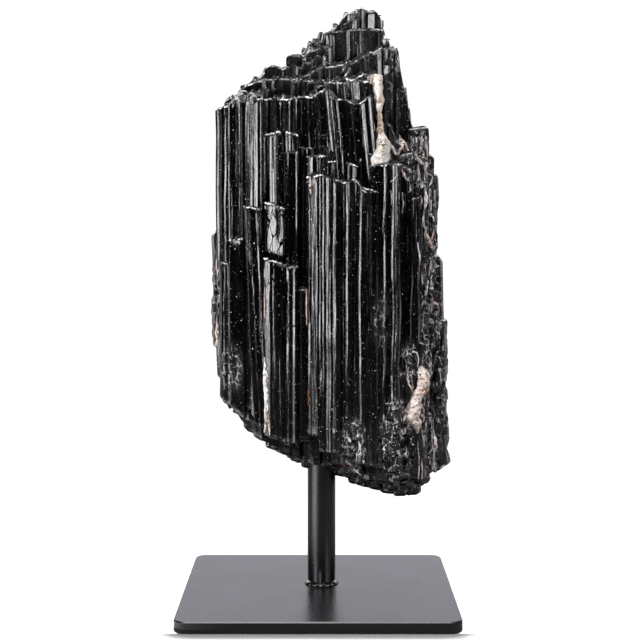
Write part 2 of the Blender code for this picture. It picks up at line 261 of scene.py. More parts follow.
def makeFloor():
    # Pale floor. The camera sees it white, with a painted shadow just in front of the plate's front
    # edge, and the black faces mirror it dim, darker away from the stand and with a painted glow
    # behind it, as they do in a studio where only the backdrop behind the object is lit.
    size = studio["halfWidth"]
    corners = [(-size, -size, 0), (size, -size, 0), (size, size, 0), (-size, size, 0)]
    mesh = bpy.data.meshes.new("floor")
    mesh.from_pydata(corners, [], [(0, 1, 2, 3)])
    floor = bpy.data.objects.new("floor", mesh)
    material, tree, shader = newMaterial("White studio floor")
    shader.inputs["Roughness"].default_value = 0.9
    shader.inputs["Specular IOR Level"].default_value = 0.0
    shader.inputs["Emission Color"].default_value = (1, 1, 1, 1)
    coords = addNode(tree, "ShaderNodeTexCoord").outputs["Object"]
    split = addNode(tree, "ShaderNodeSeparateXYZ", links={0: coords})
    away = addNode(tree, "ShaderNodeVectorMath", {"operation": "LENGTH"}, {0: coords})
    near, far = studio["toneFade"]
    tone = addNode(tree, "ShaderNodeMapRange", {1: near, 2: far}, {0: away.outputs["Value"]})
    tone = addNode(tree, "ShaderNodeMix", {
        "data_type": "RGBA", 6: linear(studio["nearTone"]), 7: linear(studio["farTone"])},
        {0: tone.outputs[0]})
    tree.links.new(tone.outputs[2], shader.inputs["Base Color"])
    # Painted glow: behind the stand the floor shines in the faces' reflections, standing in for a lit
    # backdrop
    behind = addNode(tree, "ShaderNodeMapRange", {1: 0.05, 2: 0.5, 3: 0.0, 4: 0.8},
                     {0: split.outputs["Y"]})                  # lit from the stand backwards
    # Painted shadow: the white that the camera sees is dimmed by occlusion to a steep power, only just
    # in front of the plate's front edge
    contact = addNode(tree, "ShaderNodeAmbientOcclusion", {"Distance": studio["contact"]})
    inside, edge = studio["frontEdge"]
    depth = addNode(tree, "ShaderNodeMapRange", {1: inside, 2: edge, 3: 0.0,
                                                4: studio["contactDepth"]}, {0: split.outputs["Y"]})
    contact = addNode(tree, "ShaderNodeMath", {"operation": "POWER"},
                      {0: contact.outputs["AO"], 1: depth.outputs[0]})
    white = addNode(tree, "ShaderNodeMath", {"operation": "MULTIPLY", 1: studio["white"]},
                    {0: contact.outputs[0]})
    seen = addNode(tree, "ShaderNodeLightPath").outputs["Is Camera Ray"]
    glow = addNode(tree, "ShaderNodeMix", links={0: seen, 2: behind.outputs[0],
                                                 3: white.outputs[0]})
    tree.links.new(glow.outputs[0], shader.inputs["Emission Strength"])
    mesh.materials.append(material)
    scene.collection.objects.link(floor)


def makeBackdrop():
    # White to the camera. To the faces it is bright low down behind the object and dark
    # everywhere else.
    world = bpy.data.worlds.new("studio")
    scene.world = world
    world.use_nodes = True
    tree = world.node_tree
    tree.nodes.clear()
    coords = addNode(tree, "ShaderNodeTexCoord")
    split = addNode(tree, "ShaderNodeSeparateXYZ", links={0: coords.outputs["Generated"]})
    behind = addNode(tree, "ShaderNodeMapRange", {"interpolation_type": "SMOOTHSTEP",
                                                 1: 0.62, 2: 0.93}, {0: split.outputs["Y"]})
    lowDown = addNode(tree, "ShaderNodeMapRange", {"interpolation_type": "SMOOTHSTEP",
                                                  1: 0.7, 2: 0.35}, {0: split.outputs["Z"]})
    glow = addNode(tree, "ShaderNodeMath", {"operation": "MULTIPLY"},
                   {0: behind.outputs[0], 1: lowDown.outputs[0]})
    dark, bright = studio["backdrop"]
    level = addNode(tree, "ShaderNodeMapRange", {3: dark, 4: bright}, {0: glow.outputs[0]})
    rays = addNode(tree, "ShaderNodeLightPath")
    dim = addNode(tree, "ShaderNodeBackground", {"Color": linear(studio["backdropTint"])},
                  {"Strength": level.outputs[0]})
    white = addNode(tree, "ShaderNodeBackground", {"Color": (1, 1, 1, 1),
                                                   "Strength": studio["white"]})
    mix = addNode(tree, "ShaderNodeMixShader", links={
        0: rays.outputs["Is Camera Ray"], 1: dim.outputs[0], 2: white.outputs[0]})
    addNode(tree, "ShaderNodeOutputWorld", links={0: mix.outputs[0]})
    scene.view_settings.view_transform = "Standard"


# Tourmaline

# Plan of the bundle: its front and back edge at points along X
frontEdge = ((-43.5, -12), (-39, -20), (-29, -25), (-15, -28), (0, -31), (15, -33), (24, -30),
             (34, -24), (44, -15), (52, -5))
backEdge = ((-43.5, 8), (-39, 18), (-25, 29), (0, 36), (20, 37), (40, 29), (52, 15))

# The broken top climbs in steps. Each step is a row of crystals: the Y of its front, the pitch
# between crystals, how its tops slope towards the back, and the height of its lip along X.
terraces = (
    (-24.5, 5.2, 0.30, ((14, 190), (20, 200), (28, 196), (36, 190))),
    (-16, 4.6, 0.34, ((-41, 221), (-38.4, 222.7), (-35, 223.6), (-31.3, 223.8), (-25.9, 225.7),
                      (-22, 227))),
    (-16, 4.8, 0.34, ((-4.5, 225), (-0.9, 227.4), (3, 228.7), (9, 230.5), (15.9, 231.7),
                      (20.6, 233.4), (25.5, 234.6))),
    (-16, 5.6, 0.20, ((24, 205), (30, 212), (36, 202), (42, 198))),
    (-12, 4.4, 0.30, ((-12.2, 229.4), (-7.4, 230.7), (-5.3, 231.3), (-1.8, 229.9), (5.1, 230.7),
                      (9, 231.6), (12.5, 233.7), (14.8, 236.7))),
    (-8, 5.2, 0.32, ((-44, 214), (-40, 221), (-37.4, 222.8), (-34.2, 227.0), (-31.3, 229.5),
                     (-24.9, 231.1), (-16.6, 232.2), (-11.8, 232), (-8.1, 232.8), (-3.8, 234.1),
                     (-0.9, 235.9), (2.1, 237.4), (10, 238), (15.2, 239.3), (18.2, 241),
                     (21.1, 242.3), (26.1, 244.5), (30.9, 245.6), (33.3, 244.1), (35.2, 239.5),
                     (37, 229.8), (38.8, 222), (40.5, 214), (44, 207), (47, 196), (50, 178))),
    (0, 5.2, 0.25, ((-43.5, 213), (-33, 226), (-30.1, 230.5), (-24, 234.6), (-22.1, 236.4),
                    (-19, 238), (-16, 237.1), (-13.3, 238.4), (-10.7, 238.8), (-7.6, 237.1),
                    (-6.7, 240.4), (-3.8, 240.6), (-1.8, 242.8), (1.3, 243.2), (3, 239.5),
                    (10, 239), (20, 242), (29, 244), (35, 238), (38, 222), (42, 207), (46, 196),
                    (51, 176))),
    (2, 5.0, 0.25, ((-13.4, 240.5), (-10.7, 243.4), (-6.7, 243), (-4.5, 245.2), (2.6, 247.4),
                    (7, 247.6))),
    (8, 5.2, 0.20, ((-41, 211), (-30, 221), (-18, 233), (-8, 242), (-5, 247.4), (-4.1, 249.4),
                    (2.1, 250.2), (2.7, 253.8), (7.1, 254.2), (9.3, 254.7), (19, 255.6),
                    (27.5, 255.4), (28.8, 254.4), (30.2, 251), (31.9, 249.8), (33.2, 240),
                    (38, 214), (44, 192), (50, 160))),
    (8.6, 4.9, 0.30, ((9.3, 256.9), (12, 257.8), (15.6, 260), (17.4, 260.9), (20.1, 262.2))),
    (13, 4.7, 0.10, ((-25, 216), (-12, 238), (-3, 250), (2.6, 252.8), (7, 256), (9.6, 258.6),
                     (11.6, 261.4), (13.4, 263.2), (17, 263.7), (18.8, 264.6), (20.6, 265.2),
                     (22.2, 264.4), (25.2, 264), (26.6, 261.6), (27.6, 252), (31, 236), (38, 214))),
    (18, 7.0, -0.25, ((-36, 204), (-24, 214), (-10, 228), (4, 240), (14, 252), (23, 254),
                      (30, 240), (37, 217), (47, 188))),
    (25.5, 8.0, -0.30, ((-29, 198), (-12, 211), (4, 226), (15, 237), (25, 235), (39, 211))),
    (31.5, 9.0, -0.30, ((-12, 194), (6, 208), (17, 213), (29, 208))),
)

# Lips of the front walls
lips = {
    "wall": ((-43.5, 217.8), (-34, 220.4), (-27, 221.3), (-14, 221.7), (-7.7, 223), (-1, 222.8)),
    "ledge": ((-5, 188.2), (0.8, 189.2), (5.4, 188), (8, 187), (11.3, 185.8), (15.1, 187.4),
              (17.7, 183.6), (21, 181)),
    "panel": ((-1.5, 223.6), (4.2, 227.2), (5.5, 222.7), (8.1, 221.5), (12.3, 221.5),
              (14.2, 219.8), (18.1, 219.8), (20.3, 221.8), (23.5, 223.4)),
}

# The oblique underside: its lowest line along X, and how it rises in front of and behind it
keel = {
    "line": ((-46, 106), (-44, 101), (-40, 92), (-37, 87), (-33, 77), (-25, 68.5), (-12, 61),
             (4, 55.5), (14, 52), (25, 47.5), (32, 45.5), (43, 46), (49, 50), (56, 55), (59, 60)),
    "y": 8.0,
    "riseFront": 0.33,
    "riseBack": 0.25,
}

# Faces of a crystal, each a letter: its share of the width, the way it looks in degrees from
# straight ahead, and the share of the usual flute depth that it has. Those turned about 24
# degrees to the left catch the light.
facets = {
    "(": (0.9, -58, 1.0), ")": (0.9, 58, 1.0), "k": (1.0, 3, 0.8), "b": (1.0, -24, 0.45),
    "w": (1.0, -25, 0.12), "g": (1.0, -15, 0.8), "r": (1.0, 21, 0.8),
    "^": (0.3, -55, 0.3), "v": (0.3, 55, 0.3),
}

# The crystals that stand out on the front: X, Y, half width, half depth, foot, top or the lip
# that it ends at, its faces from left to right, and how far it leans to the right as it rises
frontCrystals = (
    (-41.6, -13, 2.6, 5.5, 99, "wall", "(gkgkk)", 0),
    (-38.2, -16.5, 2.6, 6.0, 95, "wall", "(gkbkk)", 0),
    (-34.1, -19.5, 3.5, 6.5, 91, "wall", "(kgkkgk^bkk)", 0),
    (-30.1, -21.0, 2.8, 6.5, 88, "wall", "(kkkgk)", 0),
    (-26.0, -24.0, 2.9, 6.0, 84, "wall", "^wwwwvkb)", 0),
    (-21.2, -17.5, 3.2, 6.0, 90, "wall", "(kgkkgg)", 0),
    (-16.8, -16.5, 2.8, 6.0, 90, "wall", "(kggkk)", 0),
    (-12.6, -15.5, 2.8, 6.0, 77, "wall", "(gkbkg)", 0),
    (-8.6, -15.0, 2.8, 6.0, 74, "wall", "(kgkkk)", 0),
    (-4.6, -16.0, 2.8, 6.0, 73, "wall", "(kkkgk)", 0),
    (-19.2, -21.5, 4.6, 6.0, 78, 207, "(kkk^bvgkkkk)", 0),
    (-11.2, -20.5, 3.3, 6.0, 75, 207, "(gkgk^gkg)", 0),
    (-11.4, -22.8, 3.2, 6.0, 75, 199, "(kgkk^bkg)", 0),
    (-5.2, -18.0, 2.8, 6.0, 73, 201, "(kkkkk)", 0),
    (-27.6, -27.0, 3.9, 5.5, 81, 175.5, "(kkgkkkkgk)", -0.045),
    (-34.7, -23.5, 3.6, 5.5, 86, 162, "(kkvkgkkk)", 0),
    (-39.3, -19.0, 3.0, 5.5, 90, 152, "(kkkkgk)", 0),
    (-18.4, -27.2, 4.4, 6.0, 154.5, 176.5, "^wwwwwww)", 0),
    (-18.9, -28.0, 4.3, 6.0, 76.5, 153, "^bbbvkggvkgk)", 0),
    (-12.4, -27.5, 4.0, 6.0, 73.5, 150.5, "(kgk^gkk^bk)", 0),
    (-7.2, -23.5, 3.8, 6.0, 75.5, 140.5, "(kkkkkkk)", 0),
    (-0.7, -22.5, 4.6, 6.0, 110, 197.5, "(gbkkgkk)", 0),
    (5.0, -21.5, 2.8, 6.0, 120, 195.0, "(kgkgk)", 0),
    (14.5, -22, 2.6, 6.0, 110, 194, "(kkgk)", 0),
    (-1.1, -30.0, 3.8, 6.5, 77.5, "ledge", "(^bkbbbvk^bk)", 0),
    (4.9, -31, 4.5, 7.0, 70.5, "ledge", "(k^bvk^bvbvk^bbkk)", 0),
    (11.3, -29.8, 3.3, 6.5, 68.5, "ledge", "(k^bbvkgkk)", 0),
    (16.6, -28.5, 3.9, 6.5, 65.5, "ledge", "(kkgkk^bvkk)", 0),
    (21.9, -27.0, 3.6, 6.5, 63.5, 183, "(kgkkgkkk)", 0),
    (25.4, -25.0, 3.7, 6.5, 62.5, 193.6, "(kkkkkkk^b)", 0),
    (31.5, -22.8, 3.6, 6.5, 60.5, 193.8, "(kkk^bvkgg)", 0),
    (37.0, -18.5, 3.5, 6.0, 60, 193.0, "(gkkk^bvgk)", 0),
    (37.3, -15, 3.9, 6.0, 60, 199, "(ggkkg)", 0),
    (40.8, -16.0, 3.2, 6.0, 58, 180, "(ggkgk)", 0),
    (44.8, -11.5, 3.2, 5.5, 58, 187, "(gkkgk)", 0),
    (43.8, -7, 4.5, 6.0, 60, 210.5, "(kkkgkkk)", 0),
    (47.3, -6.0, 3.4, 5.5, 57, 199, "(kgkkkk)", 0),
    (30.2, -24.0, 3.8, 6.0, 60.5, 92, "(kkgkkgk)", 0),
    (36.4, -18.8, 4.0, 6.0, 57, 90, "(kgkkkgk)", 0),
    (43.1, -15.5, 4.3, 6.0, 56, 118, "(kkgkkkk)", 0),
    (14.2, -29.5, 4.8, 5.0, 64, 84, "(kgkkkk)", 0),
)

# The upper front panel, whose crystals lean to the left as they rise
panelCrystals = (
    (0.9, -15.2, 5.2, 6.0, 174, "panel", "(k^gkkgk^bvk)", -0.09),
    (9.4, -18.6, 4.9, 6.5, 169, "panel", "(k^bbvkkkgkk)", -0.09),
    (8.1, -14, 4.4, 6.0, 174, 229, "(kkgkk)", -0.09),
    (17.8, -18.4, 5.4, 6.5, 167, "panel", "(kgkkk^gkkkk^g)", -0.09),
    (17.4, -14, 6.7, 6.0, 174, 230, "(kk^bbvkkkk)", -0.09),
)

# Knobs and short crystals at the peak, down both edges, and standing out from the back, each
# with the same first six values and its lean
looseCrystals = (
    (-37.2, -9, 2.4, 4.5, 200, 222.4, 0),
    (-32.7, -8, 3.0, 4.5, 200, 226.8, 0),
    (-20.8, 2, 3.1, 4.5, 214, 238.4, 0),
    (-10.8, 6, 3.6, 4.5, 220, 243.6, 0),
    (-0.9, 11, 3.2, 4.5, 225, 250.0, 0),
    (5.0, 9.5, 2.4, 4.0, 225, 254.3, 0),
    (14.8, 15, 2.9, 4.0, 235, 263.3, 0),
    (19.7, 15, 2.3, 4.0, 235, 265.4, 0),
    (24.4, 14, 2.7, 4.5, 230, 264.0, 0),
    (27.0, 14, 1.6, 4.0, 230, 261.5, 0),
    (28.2, 10, 2.0, 4.5, 230, 255.2, 0),
    (30.8, 8, 1.7, 4.5, 228, 250.4, 0),
    (-44.5, -6, 2.6, 5.0, 116, 165, 0),
    (-44.6, -1, 2.6, 4.5, 112, 147.5, 0),
    (49.5, -2, 3.5, 5.5, 58, 190.5, 0),
    (52.5, -3, 3.2, 5.0, 58, 155, 0),
    (51.6, 6, 3.3, 5.5, 56, 157, 0),
    (54.2, -4, 3.0, 4.5, 60, 126.5, 0),
    (54.4, 3, 3.1, 5.0, 58, 127, 0),
    (54.2, -3, 3.2, 4.5, 60, 98, -0.045),
    (53.3, 5, 3.2, 5.0, 60, 107, -0.045),
    (53.4, 12, 3.7, 5.0, 62, 119.5, 0),
    (-33.5, 22, 4.4, 5.0, 84, 158, 0),
    (-24.0, 28, 4.6, 5.0, 82, 181, 0),
    (-13.0, 32.5, 4.4, 4.8, 76, 146, 0),
    (-3.5, 35.5, 4.8, 4.6, 72, 171, 0),
    (11.5, 37.5, 4.6, 4.4, 66, 132, 0),
    (28.5, 34.5, 4.8, 4.8, 62, 178, 0),
    (37.0, 29, 4.4, 4.8, 62, 141, 0),
    (46.0, 21, 4.4, 5.0, 63, 166, 0),
)

# Where the surface is dull: X, Z, half width, half height, and how strongly. Up to 0.3 it is only
# matt, and above that it is crushed into blocks as well.
grazes = (
    (10.0, 246, 50, 24, 0.3),
    (26.7, 128, 3.8, 14, 0.45),
    (-37.0, 106, 5.5, 11, 0.5),
    (33.8, 75, 8.5, 18, 0.95),
    (15.5, 74, 7, 12, 0.6),
    (50.0, 115, 6.0, 80, 0.62),
    (57.5, 92, 3.4, 40, 0.5),
    (44.0, 196, 7.0, 18, 0.55),
    (34.0, 232, 7.5, 18, 0.42),
    (36.5, 205, 4.5, 13, 0.45),
    (-45.5, 135, 3.5, 26, 0.5),
    (39.0, 108, 4.5, 10, 0.6),
)

# Where a glassy face is crazed with fine dark cracks: X, Z, half width, half height
crazes = ((-18.4, 165, 4.2, 13), (-19.0, 147, 4.5, 6))

tourmaline = {
    "seed": 41,
    "widthToPitch": 1.34,
    "terraceHalfDepth": 5.8,
    "terraceFaces": ("(kkk)", "(kkkk)", "(kkgk)", "(kkr)", "(kkkkk)", "(gkk)"),
    "terraceFluting": 0.55,
    "backFluting": 2.2,
    "sectionPower": 2.6,
    "cornerShift": 0.22,
    "cornerReach": (0.93, 1.04),
    "facetJitter": 2.5,          # degrees
    "striation": 0.62,           # width of one flute
    "looseStriation": 1.0,       # the same on the knobs and at the back
    "buriedStriation": 3.5,      # and on faces that lie inside the bundle
    "terraceStriation": 1.15,
    "backStriation": 1.6,
    "relief": 0.035,             # how far a flute stands in or out
    "deepFlutes": (0.28, 4.5),   # share of the flutes, and how many times deeper
    "wander": 0.015,             # how far a flute wanders as it climbs
    "sway": (0.08, 0.5),         # the same for the whole crystal, and more where it is crushed
    "wanderReach": 12.0,         # height from one turn of a flute or crystal to the next
    "footLevels": (0.0, 0.25, 0.8, 1.5, 2.4, 4.5),
    "topLevels": (15.0, 10.0, 6.8, 4.5, 3.0, 2.0, 1.2, 0.6, 0.25, 0.0),
    "levelStep": 1.5,
    "levelEvery": 3,             # steps between two levels, and the same inside the bundle
    "hiddenEvery": 20,
    "closeFrom": 0.38,           # strength of a graze that keeps every step
    "footRadius": 2.2,
    "footSlant": 0.35,           # how far a foot follows the slope of the underside
    "lip": 0.4,                  # worn bevel around a top
    "terraceDome": (1.1, 2.3),   # how far down a top is rounded over
    "crystalDome": (1.6, 2.6),
    "domedFrom": 36,             # front crystals to the right of this X are rounded over too
    "domeWearAndGlint": 0.35,
    "mostRise": 1.0,             # of a terrace's top behind its lip
    "capRings": ((0.86, 0.15), (0.62, 0.3), (0.3, 0.3)),     # share of the width, and rise
    # Pale of tops and lips: crushed wear, and a painted highlight of lips catching the overhead light
    "terraceWearAndGlint": 0.5,
    "crystalWearAndGlint": 0.35,
    "wornBand": 0.8,
    "wornFoot": 0.6,
    "chipDepth": 1.2,
    "chipHeight": (0.8, 3.5),
    "ragged": 0.30,              # unevenness of a broken top
    "crackDepth": 0.16,
    "crackEdge": 0.25,           # from its middle to either edge, and to the next level
    "crackRoom": 0.8,
    "crackAboveFoot": 8,
    "crackBelowTop": 18,
    "fluteChange": 0.11,         # how much a flute's depth changes where it breaks off
    "crushedFrom": 0.32,         # strength of a graze that breaks the surface into blocks
    "granule": 0.07,             # unevenness where the surface is crushed
    "block": 3.6,                # size of the blocks that it is crushed into
    "blockTilt": 0.34,
    "crazedBefore": -25,         # only faces in front of this Y are crazed
    "headroom": 0.05,            # how far the top stays below the CAD solids' own
    "coreInset": 6.5,
    "coreBelowTop": 5.0,
    "coreAboveFoot": 8.0,
    "coreX": (-38.0, 47.0),
    "coreTop": 185.0,            # where no terrace is near
    "holeGap": 0.3,
    "holeFrom": 30,
    "holeSides": 48,
    "smoothBelow": 14.0,         # degrees between faces that still shade as one
}
post = {
    "x": 1.5, "y": 4.5, "radius": 6.35, "chamfer": 0.8, "around": 112,
    "beadWidth": 1.2, "beadHeight": 1.4, "beadLevels": 9,
    "waves": ((2, 0.14, 1.0), (9, 0.12, 0.0), (23, 0.08, 0.6)),    # count, share, turn
    "drip": {"turn": -3.0, "top": 12.7, "width": 0.4, "thick": 0.22, "end": 0.8},
    "step": 0.4, "stepsTo": 8.6, "plainFrom": 12,    # heights above the plate
    "smoothBelow": 35,                               # degrees
}


def along(points, x):
    # The second number of the points, read at x between their first numbers
    return np.interp(x, [p[0] for p in points], [p[1] for p in points])


def underside(x, y):
    rise = np.where(y < keel["y"], keel["riseFront"], keel["riseBack"])
    return along(keel["line"], x) + rise * np.abs(y - keel["y"])


def grazed(x, z):
    # Strength of the strongest patch at each point, full inside and fading over its rim
    strength = 0 * (x + z)
    for cx, cz, width, height, amount in grazes:
        inside = 1.4 - ((x - cx) / width) ** 2 - ((z - cz) / height) ** 2
        strength = np.maximum(strength, amount * np.clip(inside, 0, 1))
    return strength


def roundedCorners(draw, halfWidth, halfDepth, sides):
    # Superellipse |x/a|^p + |y/b|^p = 1 met at uneven angles, each corner at its own reach
    shift = draw.uniform(-tourmaline["cornerShift"], tourmaline["cornerShift"], sides)
    angle = draw.uniform(0, math.tau) + math.tau * (np.arange(sides) + shift) / sides
    across, deep = np.cos(angle), np.sin(angle)
    power = tourmaline["sectionPower"]
    square = (np.abs(across) ** power + np.abs(deep) ** power) ** (-1 / power)
    reach = square * draw.uniform(*tourmaline["cornerReach"], sides)
    return np.stack((halfWidth * reach * across, halfDepth * reach * deep), 1)


def facetCorners(draw, letters, halfWidth, halfDepth):
    # The faces laid end to end from left to right, each at its own turn, then the buried back
    # as two plain corners
    share, turn, depth = np.array([facets[letter] for letter in letters]).T
    turn = turn + draw.normal(0, tourmaline["facetJitter"], len(turn)) * np.minimum(2 * depth, 1)
    share = share * draw.uniform(0.8, 1.2, len(share))
    x = halfWidth * (2 * np.concatenate(((0,), np.cumsum(share))) / share.sum() - 1)
    y = np.concatenate(((0,), np.cumsum(np.diff(x) * np.tan(np.radians(turn)))))
    y -= y.min() + halfDepth
    front = np.stack((x, y), 1)
    back = np.array(((0.85 * halfWidth, halfDepth), (-0.85 * halfWidth, halfDepth)))
    return np.vstack((front, back)), np.append(depth, (1.0, 1.0, 1.0))


def striate(draw, corners, widths, depth):
    # The outline cut at uneven places about one flute apart. Gives each point, the way out
    # from it, and how far it stands out. Some flutes are much deeper than the rest.
    edge = np.roll(corners, -1, axis=0) - corners
    length = np.hypot(edge[:, 0], edge[:, 1])
    parts = np.maximum(1, np.rint(length / widths)).astype(int)
    which = np.repeat(np.arange(len(corners)), parts)
    place = np.arange(parts.sum()) - np.repeat(np.cumsum(parts) - parts, parts)
    inner = place > 0
    share = (place + inner * draw.uniform(-0.38, 0.38, len(place))) / parts[which]
    point = corners[which] + edge[which] * share[:, None]
    out = np.stack((edge[:, 1], -edge[:, 0]), 1) / length[:, None]
    before = np.roll(out, 1, axis=0)
    corner = out + before
    corner /= np.hypot(corner[:, 0], corner[:, 1])[:, None]
    way = np.where(inner[:, None], out[which], corner[which])
    chance, factor = tourmaline["deepFlutes"]
    deep = np.where(draw.random(len(place)) < chance, factor, 1.0)
    stands = np.where(inner, draw.uniform(-1, 0.8, len(place)) * deep,
                      draw.uniform(-0.6, 0.2, len(place)))
    return point, way, stands * tourmaline["relief"] * np.broadcast_to(depth, len(corners))[which]


def cleaved(draw, wall, size, tilt, where):
    # Blocks about size across. The height at each point p of the wall is the greatest of
    # t.(p - q) - |p - q|^2 / size over many points q of the wall, each with a tilt t of its
    # own. Also gives the margin over the second greatest, which is small at the joints.
    spots = wall[where]
    area = np.linalg.norm(np.diff(wall, axis=0)[:, 1:], axis=-1) * \
        np.linalg.norm(np.diff(wall, axis=1)[1:], axis=-1)
    number = max(3, int((area * where[1:, 1:]).sum() / size ** 2))
    chosen = spots[draw.integers(0, len(spots), number)]
    lean = draw.normal(0, tilt, (number, 3))
    best = np.full(wall.shape[:2], -99.0)
    second = best.copy()
    for q, t in zip(chosen, lean):
        away = wall - q
        value = away @ t - (away ** 2).sum(axis=-1) / size
        second = np.maximum(second, np.minimum(best, value))
        best = np.maximum(best, value)
    return np.maximum(best, -size) + 0.2 * size, best - second


def levelHeights(x, foot, top, sparse, cracks):
    # Close together at both worn ends, at cracks and where the surface is crushed
    low = foot + np.array(tourmaline["footLevels"])
    high = top - np.array(tourmaline["topLevels"])
    high = high[high > low[-1] + 1]
    step = tourmaline["levelStep"]
    between = np.arange(low[-1] + step, high[0] - step / 2, step)
    index = np.arange(len(between))
    every = tourmaline["hiddenEvery"] if sparse else tourmaline["levelEvery"]
    wanted = index % every == every // 2
    if not sparse:
        wanted = wanted | (grazed(x, between) > tourmaline["closeFrom"])
    between = between[wanted]
    if len(cracks):
        edge = tourmaline["crackEdge"]
        room = np.abs(between[:, None] - cracks).min(axis=1)
        between = between[room > tourmaline["crackRoom"]]
        between = np.concatenate((between, cracks - edge, cracks, cracks + edge))
    return np.concatenate((low, np.sort(between), high))


def insetOf(draw, above, below, dome):
    # How far the surface is drawn in at each level: a quarter-round foot, a bevelled lip, and
    # a rounded top if it has a dome. Also gives the foot's radius.
    radius = tourmaline["footRadius"] * draw.uniform(0.6, 1.2)
    curl = np.clip(1 - above / radius, 0, 1)
    inset = radius * (1 - np.sqrt(1 - curl ** 2)) * 0.9
    lip = tourmaline["lip"] * draw.uniform(0.6, 1.6)
    inset = inset + lip * np.clip(1 - below / lip, 0, 1) ** 1.5
    if dome:
        curl = np.clip(1 - below / dome, 0, 1)
        inset = inset + dome * (1 - np.sqrt(1 - curl ** 2)) * 0.85
    return inset, radius


def chipsOf(draw, count, below, dome):
    # Chips around the top, each with its own depth and height, that deepen towards the lip
    spread = np.arange(count) / count
    chips = np.clip(draw.normal(-0.5, 0.8, max(3, count // 4)), 0, 1.5) * tourmaline["chipDepth"]
    chips = chips * (0.4 if dome else 1)
    chips = np.interp(spread, np.arange(len(chips)) / len(chips), chips, period=1.0)
    tall = draw.uniform(*tourmaline["chipHeight"], count // 4 + 2)
    tall = np.interp(spread, np.arange(len(tall)) / len(tall), tall, period=1.0)
    return chips * np.clip(1 - below[:, None] / tall, 0, 1)


def flutesOf(draw, wall, stands, cracks, crushed):
    # How far the surface stands out: each flute wanders as it climbs, half of them change their
    # depth at a height of their own, cracks cut in, and crushed zones are blocks
    heights = wall[:, 0, 2]
    count = len(stands)
    ends = draw.uniform(heights[0], heights[-1], count)
    change = draw.normal(0, tourmaline["fluteChange"], count) * (draw.random(count) < 0.5)
    flutes = stands + drift(draw, heights, count, tourmaline["wanderReach"], tourmaline["wander"])
    flutes = flutes + change * (heights[:, None] > ends)
    split = np.isin(heights, cracks)[:, None]
    flutes = flutes - tourmaline["crackDepth"] * split * draw.uniform(0, 1, count)
    if crushed.max() > tourmaline["crushedFrom"]:
        size, tilt = tourmaline["block"], tourmaline["blockTilt"]
        blocks = cleaved(draw, wall, size, tilt, crushed > 0.1)[0]
        blocks = blocks + draw.normal(0, tourmaline["granule"], blocks.shape)
        flutes = flutes * (1 - 0.6 * crushed) + blocks * np.clip(crushed * 2 - 0.6, 0, 1)
    return flutes


def wearAndGlintOf(body, above, below, chip, radius, topWearAndGlint, dome):
    # Crushed edges are pale, and the lips also carry a painted highlight where their bevel would catch
    # the overhead light: most at the lip, a little around the foot
    worn = np.full(body.shape[:2], topWearAndGlint)
    if dome:
        edges = np.clip(1.2 - np.abs(below[:, None] - 0.3 * dome) / tourmaline["domeWearAndGlint"], 0, 1)
    else:
        edges = np.clip(1.3 - below[:, None] / tourmaline["wornBand"], 0, 1)
    edges = edges + np.clip(chip * 0.3, 0, 0.3)
    around = np.clip(1 - np.abs(above - radius)[:, None] / 0.6, 0, 1)
    worn[:len(above)] = edges + tourmaline["wornFoot"] * around
    return np.clip(np.append(worn.ravel(), (0, topWearAndGlint)), 0, 1)


def crazedAt(points):
    crazed = 0.0 * points[:, 0]
    for cx, cz, width, height in crazes:
        inside = (np.abs(points[:, 0] - cx) < width) & (np.abs(points[:, 2] - cz) < height)
        crazed = np.maximum(crazed, inside & (points[:, 1] < tourmaline["crazedBefore"]))
    return crazed


